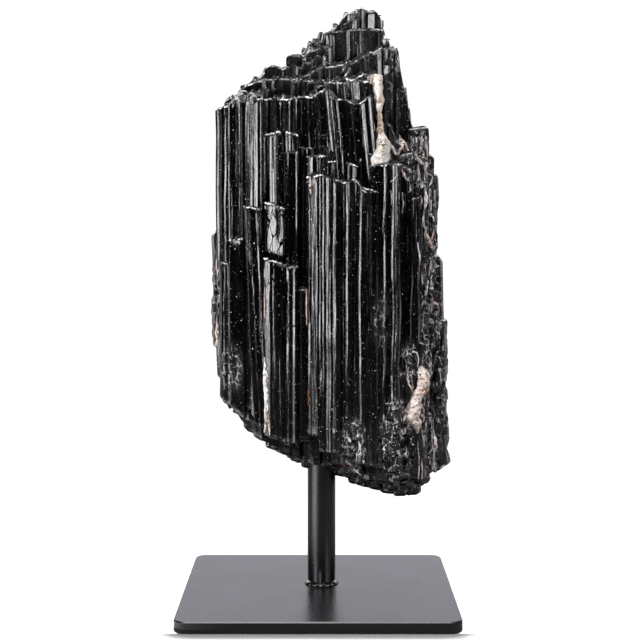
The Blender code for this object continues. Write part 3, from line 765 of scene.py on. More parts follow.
def makeColumn(draw, place, section, footShape, topShape, lean=0.0, sparse=False, cracked=0,
               topWearAndGlint=0.12, dome=0.0):
    # One crystal: its section carried up from foot to top. The radius is the fluted section
    # less insetOf and chipsOf, and the ends close over a few uneven rings.
    x0, y0, foot, top = place
    point, way, stands = section
    count = len(point)
    lowest = foot + tourmaline["crackAboveFoot"]
    cracks = draw.uniform(lowest, max(lowest + 0.1, top - tourmaline["crackBelowTop"]), cracked)
    heights = levelHeights(x0, foot, top, sparse, cracks)
    share = (heights - foot) / (top - foot)
    above = heights - foot
    below = top - heights
    crushed = grazed(x0 + point[:, 0], heights[:, None])

    inset, radius = insetOf(draw, above, below, dome)
    chip = chipsOf(draw, count, below, dome)
    wall = np.stack(np.broadcast_arrays(x0 + point[:, 0], y0 + point[:, 1], heights[:, None]), -1)
    flutes = flutesOf(draw, wall, stands, cracks, crushed)
    out = flutes - inset[:, None] - chip
    usual, more = tourmaline["sway"]
    sway = drift(draw, heights, 2, tourmaline["wanderReach"], usual + more * crushed.mean())
    x = point[:, 0] + way[:, 0] * out + sway[:, :1]
    y = point[:, 1] + way[:, 1] * out + sway[:, 1:]

    footZ = footShape(x0 + point[:, 0], y0 + point[:, 1])
    topZ = topShape(x0 + point[:, 0], y0 + point[:, 1])
    rugged = tourmaline["ragged"] * (0.3 if dome else 1)
    topZ = topZ + draw.uniform(-1, 1, count) * rugged
    z = footZ * (1 - share)[:, None] + topZ * share[:, None]
    rings = [np.stack((x, y, z), -1)]

    # Broken top, drawn in over uneven rings that keep its slope
    rim = rings[0][-1]
    middle = rim.mean(axis=0)
    for shrink, rise in tourmaline["capRings"]:
        ring = middle + (rim - middle) * shrink
        ring[:, 2] += rise + draw.uniform(-1, 1, count) * rugged
        rings.append(ring[None])
    start = rings[0][0].mean(axis=0) - (0, 0, 0.1)
    end = middle + (0, 0, 0.3)
    body = np.concatenate(rings)
    body[..., 0] += x0 + lean * (body[..., 2] - top)
    body[..., 1] += y0
    body[..., 2] = np.minimum(body[..., 2], cadHigh[2] / mm - tourmaline["headroom"])
    start, end = start + (x0 + lean * (foot - top), y0, 0), end + (x0, y0, 0)

    points, faces = closedGrid(body, start, end)
    capped = ((0, len(tourmaline["capRings"])), (0, 0))
    dull = np.append(np.pad(crushed, capped, mode="edge").ravel(), (0, 0))
    worn = wearAndGlintOf(body, above, below, chip, radius, topWearAndGlint, dome)
    return points, faces, {"worn": worn, "dull": dull, "crazed": crazedAt(points)}


def growTerraces(draw, group):
    # Rows of crystals a pitch apart. The rows with a falling slope are the back of the bundle.
    for row, (faceY, pitch, slope, lip) in enumerate(terraces):
        usual = pitch * tourmaline["widthToPitch"] / 2
        left, right = lip[0][0] + usual, lip[-1][0] - usual
        count = round((right - left) / pitch) + 1
        side = "terrace" if slope > 0 else "back"
        for place, x in enumerate(np.linspace(left, right, count)):
            inner = 0 < place < count - 1
            x += draw.uniform(-0.15, 0.15) * pitch * inner
            halfWidth = usual * (draw.uniform(0.85, 1.15) if inner else 1)
            halfDepth = tourmaline["terraceHalfDepth"] * draw.uniform(0.95, 1.12)
            y = faceY + halfDepth + draw.uniform(-0.5, 0.9)
            if inner and slope > 0:
                letters = draw.choice(tourmaline["terraceFaces"])
                corners, depth = facetCorners(draw, letters, halfWidth, halfDepth)
            else:
                corners, depth = roundedCorners(draw, halfWidth, halfDepth, 7), 1.0
            section = striate(draw, corners, tourmaline[side + "Striation"],
                              depth * tourmaline[side + "Fluting"])
            lift = draw.uniform(-0.3, 0.3)
            tilt = slope * draw.uniform(0.3, 1.3)
            foot = underside(x, y) + draw.uniform(-1.5, 1.5)

            def topShape(px, py, faceY=faceY, lift=lift, tilt=tilt, lip=lip):
                rise = np.minimum(tilt * (py - faceY), tourmaline["mostRise"])
                return along(lip, px) + lift + rise

            def footShape(px, py, foot=foot, x=x, y=y):
                return foot + tourmaline["footSlant"] * (underside(px, py) - underside(x, y))

            top = along(lip, x) + lift
            hidden = inner and 0 < row < len(terraces) - 2
            points, faces, values = makeColumn(
                draw, (x, y, foot, top), section, footShape, topShape, sparse=hidden,
                topWearAndGlint=tourmaline["terraceWearAndGlint"], dome=draw.uniform(*tourmaline["terraceDome"]))
            addSurface(group, f"terrace{row}", points, faces, values)


def growCrystals(draw, group, rows):
    # Crystals with letters have those faces in front, and the others are rounded all round
    for x, y, halfWidth, halfDepth, foot, top, letters, lean in rows:
        if letters:
            corners, depth = facetCorners(draw, letters, halfWidth, halfDepth)
            widths = np.full(len(corners), tourmaline["buriedStriation"])
            widths[:len(letters)] = tourmaline["striation"]
        else:
            corners, depth = roundedCorners(draw, halfWidth, halfDepth, 7), 1.0
            widths = tourmaline["looseStriation"]
        section = striate(draw, corners, widths, depth)
        slopeX, slopeY = draw.uniform(-0.3, 0.3), draw.uniform(-0.1, 0.3)
        if not letters:
            slopeX, slopeY = slopeX / 2, slopeY - 0.2
        if top in lips:
            lip = lips[top]
        else:
            rise = slopeX * halfWidth
            lip = ((x - halfWidth, top - rise), (x + halfWidth, top + rise))

        def topShape(px, py, y=y, halfDepth=halfDepth, lip=lip, slopeY=slopeY):
            return along(lip, px) + slopeY * (py - y + halfDepth)

        def footShape(px, py, x=x, y=y, foot=foot):
            return foot + tourmaline["footSlant"] * (underside(px, py) - underside(x, y))

        cracked = draw.integers(0, 2)
        domed = not letters or x > tourmaline["domedFrom"]
        dome = draw.uniform(*tourmaline["crystalDome"]) if domed else 0.0
        points, faces, values = makeColumn(
            draw, (x, y, foot, along(lip, x)), section, footShape, topShape, lean=lean,
            cracked=cracked, topWearAndGlint=tourmaline["crystalWearAndGlint"], dome=dome)
        addSurface(group, "crystal", points, faces, values)


def lowestTop(x, y):
    # The lowest lip among the terraces whose crystals stand over this place
    near = [row for row in terraces if row[0] - 1 < y < row[0] + 14 and
            row[3][0][0] - 2 < x < row[3][-1][0] + 2]
    if not near:
        return tourmaline["coreTop"]
    return min(along(row[3], x + shift) for row in near for shift in (-4, 0, 4))


def makeCore():
    # Slices across the bundle at steps along X, each drawn in from the crystals around it
    slices = []
    for x in np.linspace(*tourmaline["coreX"], 13):
        front = along(frontEdge, x) + tourmaline["coreInset"]
        back = along(backEdge, x) - tourmaline["coreInset"]
        deep = np.linspace(front, back, 7)
        upper = [(x, y, lowestTop(x, y) - tourmaline["coreBelowTop"]) for y in deep]
        lower = [(x, y, underside(x, y) + tourmaline["coreAboveFoot"]) for y in deep[::-1]]
        slices.append(upper + lower)
    rings = np.array(slices)
    points, faces = closedGrid(rings, rings[0].mean(axis=0), rings[-1].mean(axis=0))
    return points, faces, dict.fromkeys(("worn", "dull", "crazed"), np.zeros(len(points)))


def makeHole():
    # The space that the post's end fills
    angle = math.tau * np.arange(tourmaline["holeSides"]) / tourmaline["holeSides"]
    gap = tourmaline["holeGap"]
    low = np.array((post["x"], post["y"], tourmaline["holeFrom"]))
    high = np.array((post["x"], post["y"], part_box("post")[1][2] / mm + gap))
    ring = (post["radius"] + gap) * np.stack((np.cos(angle), np.sin(angle), 0 * angle), 1)
    points, faces = closedGrid(np.stack((low + ring, high + ring)), low, high)
    return points, faces, dict.fromkeys(("worn", "dull", "crazed"), np.zeros(len(points)))


def applied(item, name):
    # The object's mesh with its modifiers, in a new object
    bpy.context.view_layer.update()
    seen = item.evaluated_get(bpy.context.evaluated_depsgraph_get())
    mesh = bpy.data.meshes.new_from_object(seen)
    mesh.name = name
    return bpy.data.objects.new(name, mesh)


def makeTourmaline():
    draw = np.random.default_rng(tourmaline["seed"])
    group = bpy.data.collections.new("crystals")
    growTerraces(draw, group)
    growCrystals(draw, group, frontCrystals)
    growCrystals(draw, group, panelCrystals)
    growCrystals(draw, group, [(*row[:6], "", row[6]) for row in looseCrystals])

    heart = addSurface(scene.collection, "heart", *makeCore())
    join = heart.modifiers.new("grown together", "BOOLEAN")
    join.operation = "UNION"
    join.solver = "MANIFOLD"
    join.operand_type = "COLLECTION"
    join.collection = group
    hole = addSurface(scene.collection, "hole", *makeHole())
    drill = heart.modifiers.new("room for the post", "BOOLEAN")
    drill.operation = "DIFFERENCE"
    drill.solver = "MANIFOLD"
    drill.object = hole
    bundle = applied(heart, "tourmaline_bundle")
    for item in [heart, hole, *group.objects]:
        bpy.data.objects.remove(item)
    bpy.data.collections.remove(group)
    scene.collection.objects.link(bundle)
    bundle.data.shade_smooth()
    bundle.data.set_sharp_from_angle(angle=math.radians(tourmaline["smoothBelow"]))
    bundle.data.materials.clear()
    bundle.data.materials.append(schorlMaterial())
    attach(bundle, "root")
    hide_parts("tourmaline_crystal")
    bundle.data.calc_loop_triangles()
    print("tourmaline bundle:", len(bundle.data.loop_triangles), "triangles")
    return bundle


# The patterns are in repeats per metre
schorl = {
    "black": "#020203",
    "dull": "#141213",
    # crushed: the pale of crushed edges, which also paints the lips' highlight and the specks' glints
    "crushed": "#ece8e5",
    "growthLines": 1300.0,         # lines 0.8 mm apart
    "etching": 600.0,              # spots 1.6 by 8 mm
    "grain": 800.0,                # grains of 1 mm and finer
    "blocks": 240.0,               # crushed blocks 4 mm across
    "drifts": 260.0,               # stretches of pale lip 4 mm long
    # Specks: partly crumbs, partly painted glints
    "crumbsAndGlints": 1600.0,              # specks under 1 mm
    "linedStretches": 180.0,       # where the growth lines are deep, 5 by 40 mm
    "cracks": 450.0,               # pieces 2 by 7 mm
    "roughness": (0.08, 0.26),
    "matt": 0.13,                  # added roughness of a matt face, and of a worn edge
    "wornRough": 0.4,
    "ior": 1.64,
    "lineDepth": 0.22,             # relief in mm of growth lines, etched spots and grains
    "etchedDepth": 0.3,
    "grainDepth": 0.4,
    "blockTip": 1.4,               # how steeply crushed blocks tip
}


def schorlMaterial():
    # Black tourmaline, grown with fluted faces: deep black glass with fine upright lines that break
    # its reflections, and dull, paler grains wherever it is broken; the pale of its lips is partly a
    # painted highlight
    material, tree, shader = newMaterial("Schorl crystal")
    coords = addNode(tree, "ShaderNodeTexCoord").outputs["Object"]
    patchy = addNode(tree, "ShaderNodeMapping", {"Scale": (1, 1, 0.2)}, {"Vector": coords})
    etched = addNode(tree, "ShaderNodeTexNoise", {"Scale": schorl["etching"], "Detail": 4.0,
                                                  "Roughness": 0.65}, {"Vector": patchy.outputs[0]})
    grain = addNode(tree, "ShaderNodeTexNoise", {"Scale": schorl["grain"], "Detail": 5.0,
                                                 "Roughness": 0.7}, {"Vector": coords})
    worn = addNode(tree, "ShaderNodeAttribute", {"attribute_name": "worn"})
    dull = addNode(tree, "ShaderNodeAttribute", {"attribute_name": "dull"})
    matt = addNode(tree, "ShaderNodeMapRange", {1: 0.0, 2: 0.3}, {0: dull.outputs["Fac"]})
    blocky = addNode(tree, "ShaderNodeMapRange", {1: 0.3, 2: 0.75}, {0: dull.outputs["Fac"]})
    drifts = addNode(tree, "ShaderNodeTexNoise", {"Scale": schorl["drifts"], "Detail": 2.0},
                     {"Vector": coords})
    drifts = addNode(tree, "ShaderNodeMapRange", {1: 0.38, 2: 0.58, 3: 0.45, 4: 1.2},
                     {0: drifts.outputs["Fac"]})
    worn = addNode(tree, "ShaderNodeMath", {"operation": "MULTIPLY"},
                   {0: worn.outputs["Fac"], 1: drifts.outputs[0]})
    patterns = {"etched": etched.outputs["Fac"], "grain": grain.outputs["Fac"],
                "worn": worn.outputs[0], "matt": matt.outputs[0], "blocky": blocky.outputs[0],
                "drifts": drifts.outputs[0]}
    colourSchorl(tree, shader, coords, patterns)
    polishSchorl(tree, shader, coords, patterns)
    carveSchorl(tree, shader, coords, patterns)
    return material


def colourSchorl(tree, shader, coords, patterns):
    # Crushed lips turn white where the grain is above a limit that falls with wear: the pale of
    # crushed edges, and a painted highlight where the lips would catch the overhead light
    limit = addNode(tree, "ShaderNodeMapRange", {3: 0.80, 4: 0.42}, {0: patterns["worn"]})
    over = addNode(tree, "ShaderNodeMath", {"operation": "SUBTRACT"},
                   {0: patterns["grain"], 1: limit.outputs[0]})
    crushed = addNode(tree, "ShaderNodeMapRange", {1: 0.0, 2: 0.06}, {0: over.outputs[0]})

    # Crumbs and glints: tiny pale specks everywhere, crowding where the surface is crushed; partly
    # dust and chips, partly painted sparkle where tiny facets would catch the light
    crumbsAndGlints = addNode(tree, "ShaderNodeTexNoise", {"Scale": schorl["crumbsAndGlints"], "Detail": 2.0,
                                                  "Roughness": 0.5}, {"Vector": coords})
    limit = addNode(tree, "ShaderNodeMapRange", {3: 0.70, 4: 0.66}, {0: patterns["blocky"]})
    over = addNode(tree, "ShaderNodeMath", {"operation": "SUBTRACT"},
                   {0: crumbsAndGlints.outputs["Fac"], 1: limit.outputs[0]})
    specks = addNode(tree, "ShaderNodeMapRange", {1: 0.0, 2: 0.04}, {0: over.outputs[0]})
    specks = addNode(tree, "ShaderNodeMath", {"operation": "MULTIPLY", "use_clamp": True},
                     {0: specks.outputs[0], 1: patterns["drifts"]})

    # A few pale cracks between the blocks of the crushed zones
    web = addNode(tree, "ShaderNodeTexVoronoi", {"feature": "DISTANCE_TO_EDGE",
                                                 "Scale": schorl["blocks"]}, {"Vector": coords})
    net = addNode(tree, "ShaderNodeMapRange", {1: 0.05, 2: 0.022}, {0: web.outputs["Distance"]})
    shown = addNode(tree, "ShaderNodeMapRange", {1: 0.48, 2: 0.53}, {0: patterns["etched"]})
    net = addNode(tree, "ShaderNodeMath", {"operation": "MULTIPLY"},
                  {0: net.outputs[0], 1: shown.outputs[0]})
    net = addNode(tree, "ShaderNodeMath", {"operation": "MULTIPLY"},
                  {0: net.outputs[0], 1: patterns["blocky"]})
    pale = addNode(tree, "ShaderNodeMath", {"operation": "MAXIMUM"},
                   {0: crushed.outputs[0], 1: specks.outputs[0]})
    pale = addNode(tree, "ShaderNodeMath", {"operation": "MAXIMUM"},
                   {0: pale.outputs[0], 1: net.outputs[0]})
    base = addNode(tree, "ShaderNodeMix", {
        "data_type": "RGBA", 6: linear(schorl["black"]), 7: linear(schorl["dull"])},
        {0: patterns["matt"]})
    colour = addNode(tree, "ShaderNodeMix", {"data_type": "RGBA", 7: linear(schorl["crushed"])},
                     {0: pale.outputs[0], 6: base.outputs[2]})
    tree.links.new(colour.outputs[2], shader.inputs["Base Color"])


def polishSchorl(tree, shader, coords, patterns):
    # Glassy between etched spots, less so where it is matt or worn
    clear, clouded = schorl["roughness"]
    cloudy = addNode(tree, "ShaderNodeMapRange", {1: 0.45, 2: 0.7, 3: clear, 4: clouded},
                     {0: patterns["etched"]})
    rough = addNode(tree, "ShaderNodeMath", {"operation": "MULTIPLY_ADD", 1: schorl["matt"]},
                    {0: patterns["matt"], 2: cloudy.outputs[0]})
    rough = addNode(tree, "ShaderNodeMath", {"operation": "MULTIPLY_ADD", "use_clamp": True,
                                             1: schorl["wornRough"]},
                    {0: patterns["worn"], 2: rough.outputs[0]})
    tree.links.new(rough.outputs[0], shader.inputs["Roughness"])
    shader.inputs["IOR"].default_value = schorl["ior"]

    # Fine cracks in a clear face send no reflection back
    crazed = addNode(tree, "ShaderNodeAttribute", {"attribute_name": "crazed"})
    tall = addNode(tree, "ShaderNodeMapping", {"Scale": (1, 1, 0.3)}, {"Vector": coords})
    tall = addNode(tree, "ShaderNodeTexVoronoi", {"feature": "DISTANCE_TO_EDGE",
                                                  "Scale": schorl["cracks"]},
                   {"Vector": tall.outputs[0]})
    gaps = addNode(tree, "ShaderNodeMapRange", {1: 0.06, 2: 0.03}, {0: tall.outputs["Distance"]})
    gaps = addNode(tree, "ShaderNodeMath", {"operation": "MULTIPLY"},
                   {0: gaps.outputs[0], 1: crazed.outputs["Fac"]})
    level = addNode(tree, "ShaderNodeMapRange", {3: 0.5, 4: 0.0}, {0: gaps.outputs[0]})
    tree.links.new(level.outputs[0], shader.inputs["Specular IOR Level"])


def carveSchorl(tree, shader, coords, patterns):
    # Growth lines, etched pits, and grains on worn edges
    upright = addNode(tree, "ShaderNodeMapping", {"Scale": (1, 1, 0.025)}, {"Vector": coords})
    lines = addNode(tree, "ShaderNodeTexNoise", {"Scale": schorl["growthLines"], "Detail": 2.0,
                                                 "Roughness": 0.6}, {"Vector": upright.outputs[0]})
    places = addNode(tree, "ShaderNodeMapping", {"Scale": (1, 1, 0.12)}, {"Vector": coords})
    places = addNode(tree, "ShaderNodeTexNoise", {"Scale": schorl["linedStretches"],
                                                  "Detail": 1.0}, {"Vector": places.outputs[0]})
    lined = addNode(tree, "ShaderNodeMapRange", {1: 0.42, 2: 0.62, 3: 0.15, 4: 1.0},
                    {0: places.outputs["Fac"]})
    lines = addNode(tree, "ShaderNodeMath", {"operation": "MULTIPLY"},
                    {0: lines.outputs["Fac"], 1: lined.outputs[0]})
    smooth = addNode(tree, "ShaderNodeMapRange", {3: 1.0, 4: 0.1}, {0: patterns["blocky"]})
    fine = addNode(tree, "ShaderNodeBump", {"Distance": schorl["lineDepth"] * mm},
                   {"Height": lines.outputs[0], "Strength": smooth.outputs[0]})
    pitted = addNode(tree, "ShaderNodeBump", {"Strength": 0.4,
                                              "Distance": schorl["etchedDepth"] * mm},
                     {"Height": patterns["etched"], "Normal": fine.outputs[0]})
    granular = addNode(tree, "ShaderNodeMath", {"operation": "MULTIPLY"},
                       {0: patterns["grain"], 1: patterns["worn"]})
    coarse = addNode(tree, "ShaderNodeBump", {"Strength": 0.6,
                                              "Distance": schorl["grainDepth"] * mm},
                     {"Height": granular.outputs[0], "Normal": pitted.outputs[0]})

    # Crushed blocks each tip their own way: a slope across each cell, as its colour says
    block = addNode(tree, "ShaderNodeTexVoronoi", {"Scale": schorl["blocks"]}, {"Vector": coords})
    away = addNode(tree, "ShaderNodeVectorMath", {"operation": "SUBTRACT"},
                   {0: coords, 1: block.outputs["Position"]})
    tip = addNode(tree, "ShaderNodeVectorMath", {"operation": "SUBTRACT", 1: (0.5, 0.5, 0.5)},
                  {0: block.outputs["Color"]})
    tipped = addNode(tree, "ShaderNodeVectorMath", {"operation": "DOT_PRODUCT"},
                     {0: away.outputs["Vector"], 1: tip.outputs["Vector"]})
    tipped = addNode(tree, "ShaderNodeMath", {"operation": "MULTIPLY"},
                     {0: tipped.outputs["Value"], 1: patterns["blocky"]})
    coarse = addNode(tree, "ShaderNodeBump", {"Strength": 1.0, "Distance": schorl["blockTip"]},
                     {"Height": tipped.outputs[0], "Normal": coarse.outputs[0]})
    tree.links.new(coarse.outputs[0], shader.inputs["Normal"])


# Feldspar

# Height, left, right, front and back of each level of the two masses, the size and tilt of the
# blocks that their walls cleave into, the pits in them, and where stain seeped in: X, Z, half
# width and half height
feldsparUpper = {
    "levels": ((192.3, 22.0, 24.6, -27.5, -12), (193.6, 21.8, 27.6, -28.6, -12),
               (194.8, 22.0, 30.2, -29.2, -12), (196.9, 22.6, 30.6, -29, -11),
               (198.6, 23.9, 30.6, -28.6, -11), (201.3, 24.8, 30.3, -28, -11),
               (204.0, 25.2, 29.4, -27.7, -11), (206.5, 25.3, 28.2, -27.4, -11),
               (209.8, 25.3, 27.5, -27, -11), (212.4, 25.5, 26.9, -26.6, -11),
               (216.5, 25.3, 26.9, -26.0, -10), (220.2, 25.2, 27.0, -25.6, -10),
               (221.2, 24.8, 27.3, -25.4, -10), (223.5, 24.3, 27.4, -25.1, -10),
               (227.0, 23.3, 27.5, -24.6, -10), (232, 22.6, 27.4, -23, -11)),
    "seed": 5,
    "block": 3.2,
    "tilt": 0.55,
    "relief": 0.45,
    "pits": 34,
    "stains": ((26.0, 208.6, 1.3, 2.6), (25.9, 214.5, 0.9, 3.6), (23.3, 227, 1.0, 5.5),
               (25.6, 220.8, 1.6, 1.2)),
}
feldsparLower = {
    "levels": ((77.5, 42.2, 43.8, -21.5, -13), (80.2, 41.4, 44.2, -23.5, -13),
               (82.5, 38.8, 44.7, -25.5, -12), (84.5, 36.4, 44.9, -26.5, -11),
               (87.5, 36.6, 44.8, -27, -11), (90.5, 38.6, 44.6, -26.5, -11),
               (93.5, 40.4, 45.0, -26, -10), (96, 41.4, 47.4, -25.5, -10),
               (98.5, 42.2, 48.4, -25, -10), (102.5, 42.2, 48.3, -24.5, -10),
               (104.8, 42.6, 47.2, -24, -10), (106.8, 43.2, 45.6, -23, -11)),
    "seed": 8,
    "block": 2.3,
    "tilt": 0.45,
    "relief": 0.7,
    "pits": 150,
    "stains": ((46.0, 99, 2.6, 5.0), (38, 88, 1.0, 1.5)),
}


# What both masses share, in millimetres
feldsparShape = {
    "step": 0.4,
    "around": 88,
    "power": 3,            # how square a level is
    "pit": 0.45,
    "pitDepth": 0.7,
    "joint": 0.22,
    "grain": 0.05,
    "cap": (0.6, 0.5),     # how far each end is drawn in, and how far it rises
    "smoothBelow": 24,     # degrees
}


def makeFeldspar(name, lump, node, material):
    # Each level is a squared-off ellipse between its four sides. The wall is cleaved into
    # blocks, and each pit is a dent 0.7 exp(-(d / 0.45)^2) deep.
    draw = np.random.default_rng(lump["seed"])
    table = np.array(lump["levels"], dtype=float)
    count = round((table[-1, 0] - table[0, 0]) / feldsparShape["step"])
    heights = np.linspace(table[0, 0], table[-1, 0], count)
    left, right, front, back = (np.interp(heights, table[:, 0], table[:, i])[:, None]
                                for i in range(1, 5))
    around, power = feldsparShape["around"], feldsparShape["power"]
    angle = math.tau * np.arange(around) / around
    across, deep = np.cos(angle), np.sin(angle)
    square = (np.abs(across) ** power + np.abs(deep) ** power) ** (-1 / power)
    middleX, middleY = (left + right) / 2, (front + back) / 2
    wall = np.stack((middleX + (right - left) / 2 * square * across,
                     middleY + (back - front) / 2 * square * deep,
                     heights[:, None] + 0 * angle), -1)
    everywhere = np.ones(wall.shape[:2], dtype=bool)
    blocks, margin = cleaved(draw, wall, lump["block"], lump["tilt"], everywhere)
    pitted = np.zeros(wall.shape[:2])
    for row, place in zip(draw.integers(0, count, lump["pits"]),
                          draw.integers(around // 2, around, lump["pits"])):
        near = ((wall - wall[row, place]) ** 2).sum(axis=-1) / feldsparShape["pit"] ** 2
        pitted = np.maximum(pitted, np.exp(-near))
    out = lump["relief"] * blocks - feldsparShape["pitDepth"] * pitted
    out = out + draw.normal(0, feldsparShape["grain"], pitted.shape)
    body = wall + out[..., None] * np.stack((across, deep, 0 * deep), -1)
    low, high = body[0].mean(axis=0), body[-1].mean(axis=0)
    share, rise = feldsparShape["cap"]
    body = np.concatenate(((low + (body[0] - low) * share)[None] - (0, 0, rise), body,
                           (high + (body[-1] - high) * share)[None] + (0, 0, rise)))
    points, faces = closedGrid(body, low - (0, 0, rise + 0.2), high + (0, 0, rise + 0.2))
    stain = sum(np.exp(-((points[:, 0] - sx) / width) ** 2 - ((points[:, 2] - sz) / height) ** 2)
                for sx, sz, width, height in lump["stains"])
    joints = np.maximum(np.clip(1.2 - margin / feldsparShape["joint"], 0, 1), pitted)
    joints = np.append(np.pad(joints, ((1, 1), (0, 0)), mode="edge").ravel(), (0, 0))
    item = addSurface(scene.collection, name, points, faces, {"stain": stain, "joint": joints})
    item.data.shade_smooth()
    item.data.set_sharp_from_angle(angle=math.radians(feldsparShape["smoothBelow"]))
    item.data.materials.append(material)
    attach(item, "root")
    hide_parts(node)
    print(name, "done")


# Each kind's name, its two body colours, its stain and the share that the stain takes, and how
# large the black grains in it are
feldspars = {
    "white": ("White feldspar", "#e6e2de", "#c4bbb1", "#5f4832", 0.0, 0.18),
    "pink": ("Pink feldspar", "#e6d6cb", "#c8b0a1", "#694836", 0.04, 0.18),
    "rust": ("Rust-stained feldspar", "#8f5d30", "#643819", "#3f2411", 0.1, 0.18),
    "cream": ("Cream feldspar", "#dcd8d3", "#c2b8aa", "#8a6a42", 0.02, 0.18),
    "sugary": ("Sugary feldspar", "#d6ccc4", "#baaa9c", "#c09c84", 0.02, 0.22),
}
# The patterns are in repeats per metre
feldsparFinish = {
    "patches": 220.0,      # patches 4 to 5 mm across
    "stain": 330.0,        # clouds 3 mm across
    "sugar": 1300.0,       # grains under 1 mm
    "blackGrains": 420.0,  # one every 2 to 3 mm
    "blackColour": "#1c1714",
    "roughness": 0.62,
    "ior": 1.53,
    "sugarDepth": 0.4,     # mm
}


def feldsparMaterial(name, light, deep, stain, stainShare, grit):
    # Feldspar, cleaved and weathered: chalky and sugary, with rusty stain in its hollows and
    # black grains of tourmaline caught in it
    material, tree, shader = newMaterial(name)
    coords = addNode(tree, "ShaderNodeTexCoord").outputs["Object"]
    patches = addNode(tree, "ShaderNodeTexNoise", {"Scale": feldsparFinish["patches"],
                                                   "Detail": 4.0, "Roughness": 0.6},
                      {"Vector": coords})
    tone = addNode(tree, "ShaderNodeMapRange", {1: 0.42, 2: 0.60}, {0: patches.outputs["Fac"]})
    body = addNode(tree, "ShaderNodeMix", {"data_type": "RGBA", 6: linear(light), 7: linear(deep)},
                   {0: tone.outputs[0]})

    # Rust shows above a limit, and easier where stain has seeped in
    rusty = addNode(tree, "ShaderNodeTexNoise", {"Scale": feldsparFinish["stain"], "Detail": 3.0},
                    {"Vector": coords})
    seeped = addNode(tree, "ShaderNodeAttribute", {"attribute_name": "stain"})
    rusty = addNode(tree, "ShaderNodeMath", {"operation": "MULTIPLY_ADD", 1: 0.28},
                    {0: seeped.outputs["Fac"], 2: rusty.outputs["Fac"]})
    rusty = addNode(tree, "ShaderNodeMapRange", {1: 0.66 - stainShare, 2: 0.74 - stainShare,
                                                4: 0.85}, {0: rusty.outputs[0]})
    body = addNode(tree, "ShaderNodeMix", {"data_type": "RGBA", 7: linear(stain)},
                   {0: rusty.outputs[0], 6: body.outputs[2]})

    # Black grains, and black that fills parts of the joints
    grains = addNode(tree, "ShaderNodeTexVoronoi", {"Scale": feldsparFinish["blackGrains"]},
                     {"Vector": coords})
    black = addNode(tree, "ShaderNodeMapRange", {1: grit, 2: grit - 0.06},
                    {0: grains.outputs["Distance"]})
    joint = addNode(tree, "ShaderNodeAttribute", {"attribute_name": "joint"})
    filled = addNode(tree, "ShaderNodeMath", {"operation": "MULTIPLY_ADD", 1: 0.32},
                     {0: joint.outputs["Fac"], 2: patches.outputs["Fac"]})
    filled = addNode(tree, "ShaderNodeMapRange", {1: 0.74, 2: 0.80, 4: 0.9}, {0: filled.outputs[0]})
    black = addNode(tree, "ShaderNodeMath", {"operation": "MAXIMUM"},
                    {0: black.outputs[0], 1: filled.outputs[0]})
    body = addNode(tree, "ShaderNodeMix", {
        "data_type": "RGBA", 7: linear(feldsparFinish["blackColour"])},
        {0: black.outputs[0], 6: body.outputs[2]})
    tree.links.new(body.outputs[2], shader.inputs["Base Color"])
    shader.inputs["Roughness"].default_value = feldsparFinish["roughness"]
    shader.inputs["IOR"].default_value = feldsparFinish["ior"]
    sugar = addNode(tree, "ShaderNodeTexNoise", {"Scale": feldsparFinish["sugar"], "Detail": 4.0,
                                                 "Roughness": 0.65}, {"Vector": coords})
    bump = addNode(tree, "ShaderNodeBump", {"Strength": 0.7,
                                            "Distance": feldsparFinish["sugarDepth"] * mm},
                   {"Height": sugar.outputs["Fac"]})
    tree.links.new(bump.outputs[0], shader.inputs["Normal"])
    return material


